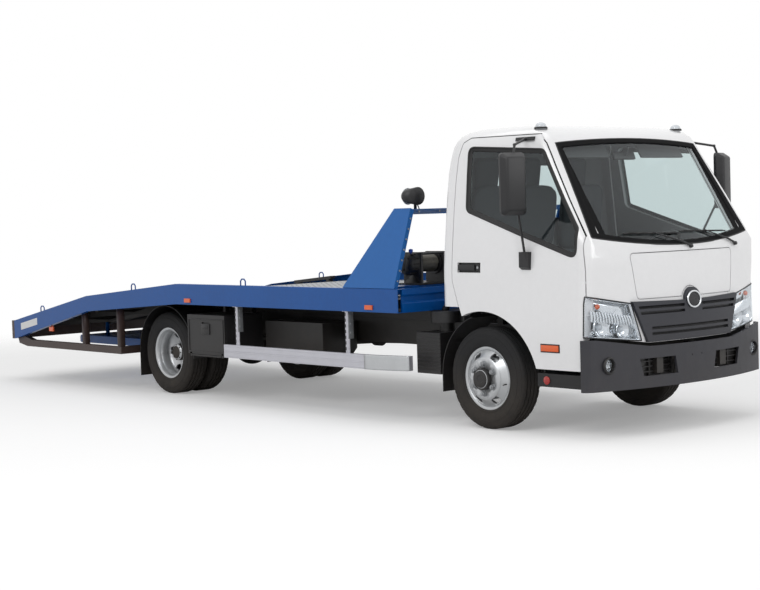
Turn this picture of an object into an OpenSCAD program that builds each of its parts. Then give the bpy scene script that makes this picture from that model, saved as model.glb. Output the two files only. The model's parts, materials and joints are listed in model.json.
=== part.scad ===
// Flatbed tow truck: forward-control chassis, tilting cab and a fixed sloping car deck.
// Millimetres. +X is forward, +Y is the driver's left, +Z is up; the ground is z = 0.
// Modules draw from the front axle's line, and placed() moves that to the middle of the length.

/* [Chassis] */
// Distance between the axles
wheelbase = 4200; // [3600:50:4900]
// Foremost point of the bumper ahead of the front axle
nose_reach = 1226; // [1180:2:1300]
// Tail end of the deck behind the rear axle
tail_reach = 2650; // [2300:50:2900]
// Top of the frame rails above the ground
frame_top = 740; // [720:5:760]
// Depth of a frame rail
frame_h = 200; // [160:5:220]
// Width over both frame rails
frame_w = 800; // [720:10:840]
// Width of a frame rail's flanges
frame_flange = 65; // [45:5:80]
// Thickness of a frame rail
frame_t = 6; // [5:1:10]

/* [Wheels] */
// Diameter of every tyre
tyre_d = 767; // [740:1:790]
// Section width of a tyre
tyre_w = 211; // [190:1:225]
// Diameter of a rim's bead seat
rim_d = 445; // [430:1:455]
// Distance between the middles of the front tyres
front_track = 1697; // [1600:1:1720]
// Distance between the middles of the twin rear pairs
rear_track = 1516; // [1480:2:1560]
// Distance between the middles of twin tyres
twin_spacing = 245; // [235:1:270]
// Distance from a kingpin to its wheel's middle
kingpin_offset = 98; // [90:1:110]
// Radius of the wheel stud circle
stud_circle_r = 111; // [105:1:120]
// Radius of the kingpins
kingpin_r = 17; // [14:1:20]
// Radius of the front stub axles
spindle_r = 30; // [25:1:34]

/* [Deck] */
// Width over the side rails
deck_w = 2340; // [2200:10:2500]
// Top of the side rails on the level part
rail_top = 1050; // [1040:5:1100]
// Depth of the side rails on the level part
rail_h = 185; // [170:5:200]
// Front end of the deck behind the front axle
deck_front = 720; // [700:5:800]
// Start of the first slope ahead of the rear axle
slope_start = 440; // [300:10:600]
// Start of the tail slope behind the rear axle
tail_start = 1130; // [1000:10:1200]
// Drop of the first slope
slope_drop = 141; // [100:1:160]
// Drop of the tail slope
tail_drop = 287; // [250:1:320]
// Depth of the side rails at the first slope's end
rail_h_knee = 152; // [140:1:170]
// Depth of the side rails at the tail
rail_h_tail = 190; // [170:1:200]
// Height that the side rails stand above the floor
kerb_h = 75; // [60:5:90]
// Thickness of the floor plate
floor_t = 6; // [4:1:8]
// Depth of the cross members
cross_h = 80; // [60:5:90]
// Top of the headboard wings
wing_top = 1672; // [1500:2:1800]
// Inward lean of a wing from foot to top
wing_lean = 200; // [120:5:220]

/* [Cab] */
// Width of the cab at the waist
cab_w = 1960; // [1900:10:2000]
// Thickness of the cab's walls
wall_t = 40; // [30:1:48]
// Thickness of a door
door_t = 48; // [42:1:55]
// Gap round a door
door_gap = 6; // [5:1:9]
// Underside of the cab floor
cab_floor_z = 915; // [900:1:930]
// Thickness of the cab floor
cab_floor_t = 25; // [15:1:35]
// Tilt pivot ahead of the front axle
tilt_x = 980; // [960:5:1000]
// Height of the tilt pivot
tilt_z = 790; // [780:1:800]
// Radius of the tilt pins
tilt_pin_r = 15; // [12:1:18]
// Radius of the front wheel arch
arch_r = 567; // [560:1:580]
// Thickness of the glass
glass_t = 5; // [4:1:6]

/* [Bumper] */
// Bottom of the bumper
bumper_z = 345; // [320:5:380]
// Top of the bumper at the middle
bumper_top = 640; // [600:5:645]
// Rise of the bumper's top towards its corners
bumper_rise = 70; // [50:5:75]
// Width over the bumper
bumper_w = 2030; // [2000:10:2100]
// Wall of the bumper
bumper_t = 20; // [10:1:24]
// Distance between the number plate's holes
plate_holes = 110; // [80:5:240]
// Radius of the number plate's holes
plate_hole_r = 5; // [3:0.5:8]

/* [Equipment] */
// Length of a loading ramp
ramp_l = 1700; // [1500:25:1725]
// Width of a loading ramp
ramp_w = 400; // [300:10:450]
// Height of a loading ramp's section
ramp_h = 60; // [50:5:80]
// Place of the winch left of the middle, while it is parked
winch_y = -620; // [-700:10:-500]
// Radius of the rope wound on the drum
rope_r = 72; // [60:1:80]
// Length of the toolbox
box_l = 570; // [450:10:600]
// Height of the toolbox
box_h = 355; // [300:5:380]
// Depth of the toolbox into the truck
box_d = 420; // [350:10:450]

/* [Hidden] */
$fn = 48;
clear = 0.3;                       // running and seating clearance
far = 3000;                        // longer than any cut needs

tail_x = -wheelbase - tail_reach;
front_axle_x = -(nose_reach + tail_x) / 2;
axle_z = tyre_d / 2;
tyre_r = tyre_d / 2;
rim_r = rim_d / 2;
flange_r = rim_r + 15.5;
wheel_y = front_track / 2;
kingpin_y = wheel_y - kingpin_offset;
twin_y = rear_track / 2;
disc_off = twin_spacing / 2;
rim_half = 84;

// Frame rails
rail_y = frame_w / 2;
web_in = rail_y - frame_t;
frame_z = frame_top - frame_h;
frame_front = 900;
frame_rear = -wheelbase - tail_start + 30;

// Deck heights along its length
rail_out = deck_w / 2;
rail_t = 5;
rail_in = rail_out - rail_t;
rail_flange = 50;
rail_z = rail_top - rail_h;
first_cross = -900;
cross_step = 480;
last_cross = first_cross - cross_step * floor((first_cross - tail_x - 250) / cross_step);
slope_x = -wheelbase + slope_start;
knee_x = -wheelbase - tail_start;
end_t = 50;
rail_end_x = tail_x + end_t;
knee_top = rail_top - slope_drop;
tail_top = knee_top - tail_drop;
// Deck line: [x, top of the side rail, bottom of the side rail]
deck_line = [
  [-deck_front, rail_top, rail_z],
  [slope_x, rail_top, rail_z],
  [knee_x, knee_top, knee_top - rail_h_knee],
  [rail_end_x, tail_top, tail_top - rail_h_tail]
];
function deck_top(x) = lookup(-x, [for (p = deck_line) [-p.x, p[1]]]);
function deck_bottom(x) = lookup(-x, [for (p = deck_line) [-p.x, p[2]]]);
function floor_top(x) = deck_top(x) - kerb_h;

// Headboard
wing_foot_rear = -1381;
wing_head_rear = -953;
wing_front = -762;
wing_t = 40;
wing_rise = wing_top - rail_top;
wing_angle = atan(wing_lean / wing_rise);
wing_len = wing_rise / cos(wing_angle);
wing_foot_y = rail_out;
bar_h = 42;

// Cab outline by height: [height, front at the middle, half width, rear, bow radius, corner radius]
waist = cab_w / 2;
cab_rows = [
  [470, 1178, waist - 3, -430, 3000, 110],
  [700, 1186, waist, -430, 3000, 110],
  [960, 1178, waist, -430, 3000, 110],
  [1200, 1155, waist - 2, -430, 4000, 95],
  [1360, 1130, waist - 14, -430, 5500, 85],
  [1700, 917, waist - 50, -430, 6000, 80],
  [1920, 780, waist - 80, -430, 6000, 80],
  [2030, 711, waist - 98, -418, 6000, 80],
  [2120, 655, waist - 110, -394, 6000, 80],
  [2165, 620, waist - 124, -368, 6000, 80],
  [2200, 572, waist - 144, -335, 6000, 80],
  [2226, 490, waist - 185, -290, 6000, 80],
  [2244, 380, waist - 250, -235, 6000, 80],
  [2258, 230, waist - 390, -165, 6000, 80],
  [2270, 40, waist - 700, -60, 6000, 80]
];
rear_corner_r = 60;                // plan radius of the rear corners
bow_steps = 8;
corner_steps = 6;
rear_steps = 3;

// Plan outline with a bowed front: front at the middle, half width, rear, bow and corner radii
function plan_half(xf, w, xr, rb, rc, rr) =
  let (
    yc = w - rc,
    xb = xf - rb,
    xc = xb + sqrt(pow(rb - rc, 2) - pow(yc, 2)),
    a1 = asin(yc / (rb - rc))
  )
  concat(
    [for (i = [0:bow_steps - 1]) let (a = a1 * i / bow_steps) [xb + rb * cos(a), rb * sin(a)]],
    [for (i = [0:corner_steps]) let (a = a1 + (90 - a1) * i / corner_steps) [xc + rc * cos(a), yc + rc * sin(a)]],
    [for (i = [0:rear_steps]) let (a = 90 + 90 * i / rear_steps) [xr + rr + rr * cos(a), w - rr + rr * sin(a)]]
  );
function flipped(half) = [for (i = [len(half) - 1:-1:1]) [half[i].x, -half[i].y]];
function plan_outline(xf, w, xr, rb, rc, rr) =
  let (half = plan_half(xf, w, xr, rb, rc, rr)) concat(half, flipped(half));

// The cab's outer skin moved inwards by t; its top comes down by t as well
function skin_z(z, t) = z > 2120 ? z - t * (z - 2120) / 106 * (z < 2226 ? 1 : 0) - (z < 2226 ? 0 : t) : z;
function skin_ring(row, t) = [
  for (p = plan_outline(row[1] - t, row[2] - t, row[3] + t, row[4], row[5] - t / 2, rear_corner_r - t / 2))
    [p.x, p.y, skin_z(row[0], t)]
];
module cab_solid(t) {
  n = 2 * (bow_steps + corner_steps + rear_steps + 2) - 1;
  rings = [for (row = cab_rows) skin_ring(row, t)];
  last = len(rings) - 1;
  points = [for (ring = rings) each ring];
  half = (n + 1) / 2;
  // The right half is split the mirrored way, so that both sides match
  sides = [
    for (k = [0:last - 1], i = [0:n - 1])
      let (j = (i + 1) % n, a = k * n + i, b = k * n + j, c = a + n, d = b + n)
        each i < half ? [[a, c, b], [b, c, d]] : [[a, c, d], [a, d, b]]
  ];
  floor_face = [for (i = [0:n - 1]) i];
  roof_face = [for (i = [n - 1:-1:0]) last * n + i];
  polyhedron(points, concat(sides, [floor_face, roof_face]), convexity = 6);
}
function cab_side(z) = lookup(z, [for (row = cab_rows) [row[0], row[2]]]);
function front_x(z) = lookup(z, [for (row = cab_rows) [row[0], row[1]]]);
function bow_at(z) = lookup(z, [for (row = cab_rows) [row[0], row[4]]]);
// A point out from the cab's front at a width and a height
function screen_point(y, z, out) =
  [front_x(z) + out - bow_at(z) + sqrt(pow(bow_at(z), 2) - pow(y, 2)), y, z + out / 2];

// Door outline in side view: [x, z]
door_front = 1002;                 // near the door's front edge
door_rear = -310;
door_z = 482;
door_outline = [
  [985, door_z], [1012, 960], [1020, 1200], [1000, 1440], [585, 2110], [520, 2180],
  [-190, 2186], [-262, 2150], [-302, 2040], [door_rear, 1850], [door_rear, 1110],
  [-262, 960], [-200, 800], [-200, door_z]
];
window_outline = [[-200, 2117], [575, 2066], [945, 1490], [950, 1275], [403, 1445], [-176, 1632]];
window_r = 55;
arch_z = 320;

// Glass in the front: [y, z] corners, and the height of the middle of each edge
screen_top = [790, 2106, 2140];
screen_foot = [885, 1425, 1352];
screen_r = 45;
pane = [600, 1560, 1980];          // rear window: half width, bottom, top

// Front pieces in front view: [y, z]
lamp_outline = [[600, 948], [958, 1012], [966, 728], [520, 682]];
grille_top = 962;
grille_z = 668;
grille_half = 604;
grille_half_low = 478;
emblem_z = 948;
emblem_r = 76;
hatch_top = 1305;
hatch_z = 972;
hatch_half = 590;
hatch_half_low = 540;
hatch_gap = 6;
hatch_r = 34;
hatch_t = 22;
hatch_lip = 25;
nose_z = bumper_top + 22;          // lower edge of the cab's front

// Driver's place
driver_y = 480;
wheel_x = 470;
wheel_z = 1300;
wheel_rake = 38;
wheel_rim_r = 205;

// Tail frame and ramps
tail_beam_y = 1100;
tail_beam_z = 357;
tail_beam_h = 68;
tail_beam_w = 60;
tail_beam_front = -wheelbase - 660;
tail_beam_rear = tail_x + 180;
ramp_y = 300;
ramp_z = 362;
ramp_x = tail_x + 240;
tray_gap = 6;
tail_lamp_t = 12;

// Equipment under and on the deck
box_x = -3070;
box_z = 420;
box_y = -1130;
box_t = 6;
winch_x = -1000;
winch_base = 1062;
drum_z = 1228;
stop_x = -4200;

// ---- Helpers ----

// Moves the front axle's line to its place along the length
module placed() translate([front_axle_x, 0, 0]) children();

// A box between two corners
module box(low, high) translate(low) cube(high - low);

// An outline in side view (x, z), from y0 to y1
module side_cut(y0, y1) translate([0, y1, 0]) rotate([90, 0, 0]) linear_extrude(y1 - y0) children();

// An outline in front view (y, z), from x0 to x1
module front_cut(x0, x1) translate([x0, 0, 0]) rotate([90, 0, 90]) linear_extrude(x1 - x0) children();

// A turned shape on an axis along Y, with its profile as [radius, y]
module turned() rotate([-90, 0, 0]) rotate_extrude($fn = 96) children();

// A round bar from a to b
module rod(a, b, r) {
  v = b - a;
  flat = norm([v.x, v.y]);
  translate(a) rotate([0, atan2(flat, v.z), atan2(v.y, v.x)]) cylinder(h = norm(v), r = r);
}

// A bar along Y at [x, z]
module bar_y(x, z, y0, y1, r) translate([x, y0, z]) rotate([-90, 0, 0]) cylinder(h = y1 - y0, r = r);

module both_sides() {
  children();
  mirror([0, 1, 0]) children();
}

// Left as drawn with s = 1, right with s = -1
module on_side(s) if (s > 0) children(); else mirror([0, 1, 0]) children();

module rounded(r) offset(r = r) offset(delta = -r) children();

// A hollow box section along Y
module channel_y(x0, x1, y0, y1, z0, z1, t) difference() {
  box([x0, y0, z0], [x1, y1, z1]);
  box([x0 + t, y0 - 1, z0 + t], [x1 - t, y1 + 1, z1 - t]);
}

// A round bar along X at [y, z]
module bar_x(x0, x1, y, z, r) translate([x0, y, z]) rotate([0, 90, 0]) cylinder(h = x1 - x0, r = r);

// ---- Chassis ----

module frame_rail() difference() {
  box([frame_rear, web_in - frame_flange + frame_t, frame_z], [frame_front, rail_y, frame_top]);
  box([frame_rear - 1, 0, frame_z + frame_t], [frame_front + 1, web_in, frame_top - frame_t]);
}

tilt_lug_y = rail_y - 35;          // middle of a tilt lug
tilt_lug_t = 30;
tilt_ear_t = 14;
arm_h = 100;

module tilt_ear(y) {
  profile = [
    [frame_front - 90, frame_top - 60], [frame_front, frame_top - 60],
    [tilt_x + 30, tilt_z - 22], [tilt_x, tilt_z], [tilt_x - 30, tilt_z + 10],
    [frame_front - 90, frame_top]
  ];
  side_cut(y, y + tilt_ear_t) union() {
    polygon(profile);
    translate([tilt_x, tilt_z]) circle(r = 34);
  }
}

module chassis_frame() placed() color([0.07, 0.07, 0.08]) {
  lug_in = tilt_lug_y - tilt_lug_t / 2 - clear;
  lug_out = tilt_lug_y + tilt_lug_t / 2 + clear;
  bumper_back = bumper_face(rail_y) - bumper_t - 0.7;
  both_sides() {
    frame_rail();
    // Bumper arm and its end plate
    box([frame_front - 160, rail_y - 70, frame_z - arm_h], [bumper_back, rail_y, frame_z]);
    box([bumper_back - 12, rail_y - 70, frame_z - 1], [bumper_back, rail_y, frame_z + 75]);
    // Tilt bracket with its pin
    tilt_ear(lug_in - tilt_ear_t);
    tilt_ear(lug_out);
    bar_y(tilt_x, tilt_z, lug_in - tilt_ear_t, lug_out + tilt_ear_t, tilt_pin_r);
    box([frame_front - 90, lug_in - tilt_ear_t, frame_z + 60], [frame_front - 60, rail_y, frame_top]);
    // Rear rest of the cab
    box([-410, rail_y - 60, frame_top], [-350, rail_y, cab_floor_z - clear]);
  }
  // Cross members
  for (x = [700, -900, -1900, -2900, -3700, -4700, frame_rear + 60])
    box([x - 40, -web_in, frame_z + 70], [x + 40, web_in, frame_top - 10]);
}

module engine() placed() color([0.25, 0.26, 0.27]) {
  difference() {
    box([-300, -270, 430], [520, 270, 1040]);
    box([-301, -271, 429], [521, -200, 560]);
    box([-301, 200, 429], [521, 271, 560]);
  }
  both_sides() box([60, 260, 600], [150, web_in, 650]);
  // Radiator
  box([790, -325, 480], [850, 325, 870]);
  both_sides() box([800, 320, 555], [840, web_in, 595]);
}

module driveline() placed() color([0.2, 0.2, 0.21]) {
  gear_x = -780;
  box([gear_x, -150, 450], [-300, 150, 690]);
  both_sides() box([gear_x + 40, 140, 560], [gear_x + 120, web_in, 600]);
  bearing = [-2300, 0, 520];
  nose = [-wheelbase + 268, 0, axle_z + 10];
  rod([gear_x - 1, 0, 565], bearing, 38);
  rod(bearing, nose, 38);
  // Centre bearing and its hanger
  translate(bearing - [40, 0, 0]) rotate([0, 90, 0]) cylinder(h = 80, r = 62);
  box([-2330, -web_in, 555], [-2270, web_in, 600]);
}

// ---- Axles ----

beam_z = axle_z - 110;             // bottom of the front axle beam
beam_h = 90;
knuckle_h = 48;                    // half height of a kingpin boss
drum_in = 60;                      // drum's inner face outside the kingpin
tie_z = axle_z - 106;
tie_arm = 140;
tie_pin_r = 11;
drop_y = kingpin_y - 190;

module front_axle() placed() color([0.1, 0.1, 0.11]) difference() {
  union() {
    box([-40, -drop_y, beam_z], [40, drop_y, beam_z + beam_h]);
    both_sides() {
      box([-40, drop_y - 40, beam_z], [40, drop_y + 30, axle_z + knuckle_h]);
      box([-30, drop_y, axle_z - knuckle_h], [30, kingpin_y, axle_z + knuckle_h]);
      translate([0, kingpin_y, axle_z - knuckle_h]) cylinder(h = 2 * knuckle_h, r = 32);
    }
  }
  both_sides() translate([0, kingpin_y, axle_z - knuckle_h - 1])
    cylinder(h = 2 * knuckle_h + 2, r = kingpin_r + clear);
}

module knuckle() {
  plate_z = knuckle_h + 1;
  plate_t = 26;
  difference() {
    union() {
      translate([0, kingpin_y, axle_z - plate_z - plate_t]) cylinder(h = plate_t, r = 36);
      translate([0, kingpin_y, axle_z + plate_z]) cylinder(h = plate_t, r = 36);
      for (z = [axle_z - plate_z - plate_t, axle_z + plate_z])
        box([-36, kingpin_y, z], [36, kingpin_y + drum_in - 8, z + plate_t]);
      box([-36, kingpin_y + 38, axle_z - plate_z - plate_t],
          [36, kingpin_y + drum_in - 8, axle_z + plate_z + plate_t]);
      // Track rod arm
      box([-tie_arm, kingpin_y - 16, axle_z - plate_z - plate_t],
          [-20, kingpin_y + 16, axle_z - plate_z]);
      translate([-tie_arm, kingpin_y, axle_z - plate_z - plate_t]) cylinder(h = plate_t, r = 18);
    }
  }
  bar_y(0, axle_z, kingpin_y + 44, wheel_y + disc_off - 18, spindle_r);
  translate([0, kingpin_y, axle_z - plate_z - plate_t])
    cylinder(h = 2 * (plate_z + plate_t), r = kingpin_r);
  translate([-tie_arm, kingpin_y, tie_z - 20]) cylinder(h = 40 + plate_t, r = tie_pin_r);
}
module knuckle_left() placed() color([0.12, 0.12, 0.13]) knuckle();
module knuckle_right() placed() color([0.12, 0.12, 0.13]) on_side(-1) knuckle();

module tie_rod() placed() color([0.12, 0.12, 0.13]) difference() {
  union() {
    bar_y(-tie_arm, tie_z - 8, -kingpin_y + 15, kingpin_y - 15, 13);
    both_sides() translate([-tie_arm, kingpin_y, tie_z - 22]) cylinder(h = 28, r = 22);
  }
  both_sides() translate([-tie_arm, kingpin_y, tie_z - 30]) cylinder(h = 50, r = tie_pin_r + clear);
}

module rear_axle() placed() color([0.1, 0.1, 0.11]) translate([-wheelbase, 0, axle_z]) {
  bar_y(0, 0, -twin_y + 165, twin_y - 165, 60);
  sphere(r = 185);
  translate([100, 0, 0]) rotate([0, 90, 0]) cylinder(h = 165, r = 90);
  // Stub shafts into the hubs
  both_sides() bar_y(0, 0, twin_y - 170, twin_y + 60, 44);
}

spring_y = rail_y - 32;
spring_w = 64;
// Leaf springs: [axle x, seat height, half length, eye rise]
module spring_pack(x, seat, half, rise) {
  for (k = [0:4]) {
    reach = half * (1 - 0.17 * k);
    z = seat + 12 * (4 - k);
    lift = rise * pow(reach / half, 2);
    side_cut(spring_y - spring_w / 2, spring_y + spring_w / 2) polygon([
      [x - reach, z + lift], [x - reach / 2, z + lift / 4], [x, z], [x + reach / 2, z + lift / 4],
      [x + reach, z + lift], [x + reach, z + lift + 11], [x + reach / 2, z + lift / 4 + 11],
      [x, z + 11], [x - reach / 2, z + lift / 4 + 11], [x - reach, z + lift + 11]
    ]);
  }
  box([x - 50, spring_y - spring_w / 2 - 8, seat], [x + 50, spring_y + spring_w / 2 + 8, seat + 66]);
  // Eyes and hangers
  for (e = [-1, 1]) {
    eye_z = seat + 48 + rise + 5;
    bar_y(x + e * half, eye_z, spring_y - spring_w / 2, spring_y + spring_w / 2, 26);
    box([x + e * half - 22, spring_y - 20, eye_z], [x + e * half + 22, spring_y + 20, frame_z]);
  }
}
module leaf_springs() placed() color([0.09, 0.09, 0.1]) both_sides() {
  spring_pack(0, beam_z + beam_h, 560, 26);
  spring_pack(-wheelbase, axle_z + 60, 650, 12);
}

module front_hub() {
  hub_w = disc_off - 12;           // outer face of the flange, under the wheel's disc
  drum_w = drum_in - kingpin_offset;
  translate([0, wheel_y, axle_z]) turned() difference() {
    polygon([
      [0, drum_w], [160, drum_w], [160, drum_w + 98], [90, drum_w + 98], [90, hub_w - 16],
      [142, hub_w - 16], [142, hub_w], [79, hub_w], [79, hub_w + 44], [60, hub_w + 52], [0, hub_w + 52]
    ]);
    translate([-1, drum_w - 1]) square([spindle_r + clear + 1, disc_off - 17 - drum_w + 2]);
  }
}

// Rim with its disc face at the given offset; the profile is [radius, distance outwards]
module wheel(disc) {
  s = disc > 0 ? 1 : -1;
  w0 = disc;
  w1 = disc - s * 12;
  difference() {
    turned() {
      polygon([
        [flange_r, -rim_half], [flange_r, 7 - rim_half], [rim_r, 12 - rim_half], [rim_r, -40],
        [rim_r - 11, -20], [rim_r - 11, 20], [rim_r, 40], [rim_r, rim_half - 12],
        [flange_r, rim_half - 7], [flange_r, rim_half], [rim_r + 6, rim_half], [rim_r - 9, rim_half - 8],
        [rim_r - 9, 42], [rim_r - 20, 24], [rim_r - 20, -24], [rim_r - 9, -42],
        [rim_r - 9, 8 - rim_half], [rim_r + 6, -rim_half]
      ]);
      polygon([
        [82, w1], [82, w0], [148, w0], [rim_r - 5, s * 66], [rim_r - 5, s * 54], [142, w1]
      ]);
    }
    // Hand holes
    for (k = [0:5]) rotate([0, 60 * k + 30, 0]) translate([0, 0, 180])
      for (dx = [-16, 16]) translate([dx, min(disc, -disc) - 5, 0]) rotate([-90, 0, 0])
        cylinder(h = 2 * abs(disc) + 10, r = 23);
    // Stud holes
    for (k = [0:5]) rotate([0, 60 * k, 0]) translate([0, min(w0, w1) - 5, stud_circle_r])
      rotate([-90, 0, 0]) cylinder(h = 22, r = 13);
  }
}

module front_wheel() {
  translate([0, wheel_y, axle_z]) wheel(disc_off);
  front_hub();
}
module front_wheel_left() placed() color([0.75, 0.76, 0.78]) front_wheel();
module front_wheel_right() placed() color([0.75, 0.76, 0.78]) on_side(-1) front_wheel();

module tyre() turned() polygon([
  [rim_r + clear, 12.4 - rim_half], [flange_r + clear, 7.4 - rim_half], [flange_r + clear, -tyre_w / 2 + 12],
  [rim_r + 40, 4 - tyre_w / 2], [rim_r + 76, -tyre_w / 2], [rim_r + 118, 5 - tyre_w / 2],
  [tyre_r - 12, 18 - tyre_w / 2], [tyre_r, 36 - tyre_w / 2], [tyre_r, tyre_w / 2 - 36],
  [tyre_r - 12, tyre_w / 2 - 18], [rim_r + 118, tyre_w / 2 - 5], [rim_r + 76, tyre_w / 2],
  [rim_r + 40, tyre_w / 2 - 4], [flange_r + clear, tyre_w / 2 - 12], [flange_r + clear, rim_half - 7.4],
  [rim_r + clear, rim_half - 12.4]
]);
module front_tyre() translate([0, wheel_y, axle_z]) tyre();
module front_tyre_left() placed() color([0.09, 0.09, 0.1]) front_tyre();
module front_tyre_right() placed() color([0.09, 0.09, 0.1]) on_side(-1) front_tyre();

module rear_wheels() translate([-wheelbase, twin_y, axle_z]) {
  translate([0, disc_off, 0]) wheel(-disc_off);
  translate([0, -disc_off, 0]) wheel(disc_off);
  // Hub and brake drum
  turned() polygon([
    [44 + clear, -160], [160, -160], [160, -60], [142, -60], [142, -12], [78, -12],
    [78, 120], [56, 132], [0, 132], [0, 60 + clear], [44 + clear, 60 + clear]
  ]);
}
module rear_wheels_left() placed() color([0.75, 0.76, 0.78]) rear_wheels();
module rear_wheels_right() placed() color([0.75, 0.76, 0.78]) on_side(-1) rear_wheels();

module rear_tyres() translate([-wheelbase, twin_y, axle_z])
  for (s = [-1, 1]) translate([0, s * disc_off, 0]) tyre();
module rear_tyres_left() placed() color([0.09, 0.09, 0.1]) rear_tyres();
module rear_tyres_right() placed() color([0.09, 0.09, 0.1]) on_side(-1) rear_tyres();

// ---- Under the deck ----

module exhaust() placed() color([0.35, 0.33, 0.3]) {
  y = rail_y + 180;
  translate([-1500, y, 560]) rotate([0, -90, 0]) cylinder(h = 620, r = 110);
  rod([-1500, y, 560], [-900, y, 560], 35);
  rod([-2120, y, 560], [-2500, y, 560], 35);
  for (x = [-1600, -2000]) box([x - 20, rail_y, 600], [x + 20, y - 60, 640]);
}

module fuel_tank() placed() color([0.3, 0.31, 0.33]) {
  y = -rail_y - 40;
  difference() {
    box([-2880, y - 380, 400], [-2080, y, 720]);
    for (p = [[-380, 400], [-380, 720], [0, 400]])
      translate([-2900, y + p.x, p.y]) rotate([45, 0, 0]) cube([840, 60, 60], center = false);
  }
  for (x = [-2800, -2200]) box([x, y - 40, 600], [x + 60, -rail_y, 660]);
}

module battery_box() placed() color([0.06, 0.06, 0.07]) {
  y = -rail_y - 30;
  box([-800, y - 480, 380], [-530, y - 60, 700]);
  box([-760, y - 61, 480], [-580, -rail_y, 600]);
  // Air intake
  translate([-665, y - 270, 700]) cylinder(h = 70, r = 60);
  translate([-665, y - 270, 770]) cylinder(h = 90, r = 130);
}

guard_r = tyre_r + 61;             // inside of the rear mudguards
front_guard_r = tyre_r + 88;
guard_t = 6;
rear_guard_in = twin_y - twin_spacing / 2 - tyre_w / 2 - 10;
rear_guard_out = twin_y + twin_spacing / 2 + tyre_w / 2 + 14;

// Distance from the wheel's middle to a guard's skin at a height
function guard_at(r, z) = sqrt(pow(r + guard_t / 2, 2) - pow(z - axle_z, 2));
// Part of a ring in side view, cut away below z and ahead of or behind an x
module guard_arc(x, r, y0, y1, x0, x1, z0) intersection() {
  translate([x, 0, axle_z]) turned() polygon([[r, y0], [r + guard_t, y0], [r + guard_t, y1], [r, y1]]);
  box([x + x0, y0 - 1, z0], [x + x1, y1 + 1, 2 * tyre_d]);
}
module mudguards() placed() color([0.05, 0.05, 0.06]) both_sides() {
  rx = -wheelbase;
  guard_arc(rx, guard_r, rear_guard_in, rear_guard_out, -guard_r - 10, guard_r + 10, axle_z);
  box([rx - guard_r - guard_t, rear_guard_in, 150], [rx - guard_r, rear_guard_out, axle_z + 20]);
  box([rx + guard_r, rear_guard_in, axle_z - 30], [rx + guard_r + guard_t, rear_guard_out, axle_z + 20]);
  for (e = [-1, 1]) bar_y(rx + e * guard_at(guard_r, 630), 630, rail_y, rear_guard_in + 30, 14);
  // Rear half of the front guard with its flap
  guard_arc(0, front_guard_r, 610, 945, -front_guard_r - 10, -140, axle_z);
  box([-front_guard_r - guard_t, 610, 255], [-front_guard_r, 945, axle_z + 20]);
  bar_y(-guard_at(front_guard_r, 640), 640, rail_y, 650, 16);
}

module subframe() placed() color([0.1, 0.16, 0.25]) {
  low = frame_top;
  under = kerb_h + floor_t + cross_h;
  beam_rear = frame_rear + 20;
  both_sides() side_cut(rail_y - 60, rail_y) polygon([
    [-deck_front - 60, low], [-deck_front - 60, rail_top - under + 10], [slope_x, rail_top - under + 10],
    [beam_rear, deck_top(beam_rear) - under + 10], [beam_rear, low]
  ]);
  // Cross members under the floor
  for (x = [first_cross:-cross_step:last_cross - 1]) {
    top = min(floor_top(x - 25), floor_top(x + 25)) - floor_t;
    box([x - 25, 1 - rail_out + rail_flange, top - cross_h], [x + 25, rail_out - rail_flange - 1, top]);
  }
  // Spine under the tail floor
  spine_end = knee_x - 880;
  spine_top = deck_top(spine_end) - under + 12;
  both_sides() side_cut(rail_y - 60, rail_y) polygon([
    [beam_rear, low], [beam_rear, deck_top(beam_rear) - under + 10], [knee_x, knee_top - under + 12],
    [spine_end, spine_top], [spine_end, spine_top - 40], [knee_x, low - 60], [knee_x + 20, low]
  ]);
}

panel_t = 22;                      // depth of the folded front panel
module deck_profile(drop, t) polygon(concat(
  [for (p = deck_line) [p.x, p[1] - drop]],
  [for (i = [3:-1:0]) [deck_line[i].x, deck_line[i][1] - drop - t]]
));
module deck_floor() placed() color([0.78, 0.79, 0.8]) difference() {
  side_cut(-rail_in, rail_in) deck_profile(kerb_h, floor_t);
  box([-deck_front - panel_t - clear, -far, 0], [0, far, far]);
}

module rail_profile(inset) polygon(concat(
  [for (p = deck_line) [p.x + (p.x < rail_end_x + 1 ? -1 : p.x > -deck_front - 1 ? 1 : 0) * inset, p[1] - inset]],
  [for (i = [3:-1:0]) let (p = deck_line[i])
    [p.x + (p.x < rail_end_x + 1 ? -1 : p.x > -deck_front - 1 ? 1 : 0) * inset, p[2] + inset]]
));
module side_rails() placed() color([0, 0.33, 0.6]) both_sides() {
  side_cut(rail_in, rail_out) rail_profile(0);
  difference() {
    side_cut(rail_out - rail_flange, rail_in) rail_profile(0);
    side_cut(rail_out - rail_flange - 1, rail_in) rail_profile(rail_t);
    side_cut(rail_out - rail_flange - 1, rail_in) deck_profile(kerb_h - clear, floor_t + 2 * clear);
  }
}

module bed_front_beam() placed() color([0.02, 0.3, 0.56]) {
  x = -deck_front;
  w = rail_out - rail_flange - 1;
  // Folded front panel
  side_cut(-w, w) polygon([
    [x, rail_z], [x, rail_z + 70], [x - 16, rail_z + 84], [x - 16, rail_z + 126], [x, rail_z + 140],
    [x, rail_top], [x - 40, rail_top], [x - 40, rail_top - 6], [x - panel_t, rail_top - 6],
    [x - panel_t, rail_z + 6], [x - 40, rail_z + 6], [x - 40, rail_z]
  ]);
  // Slide rail of the winch, on feet
  channel_y(winch_x - 130, winch_x + 130, -w + 20, w - 20, floor_top(winch_x) + 20, winch_base, 8);
  for (y = [-w + 40, -360, 360, w - 100])
    box([winch_x - 110, y, floor_top(winch_x)], [winch_x + 110, y + 60, floor_top(winch_x) + 21]);
}

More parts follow.
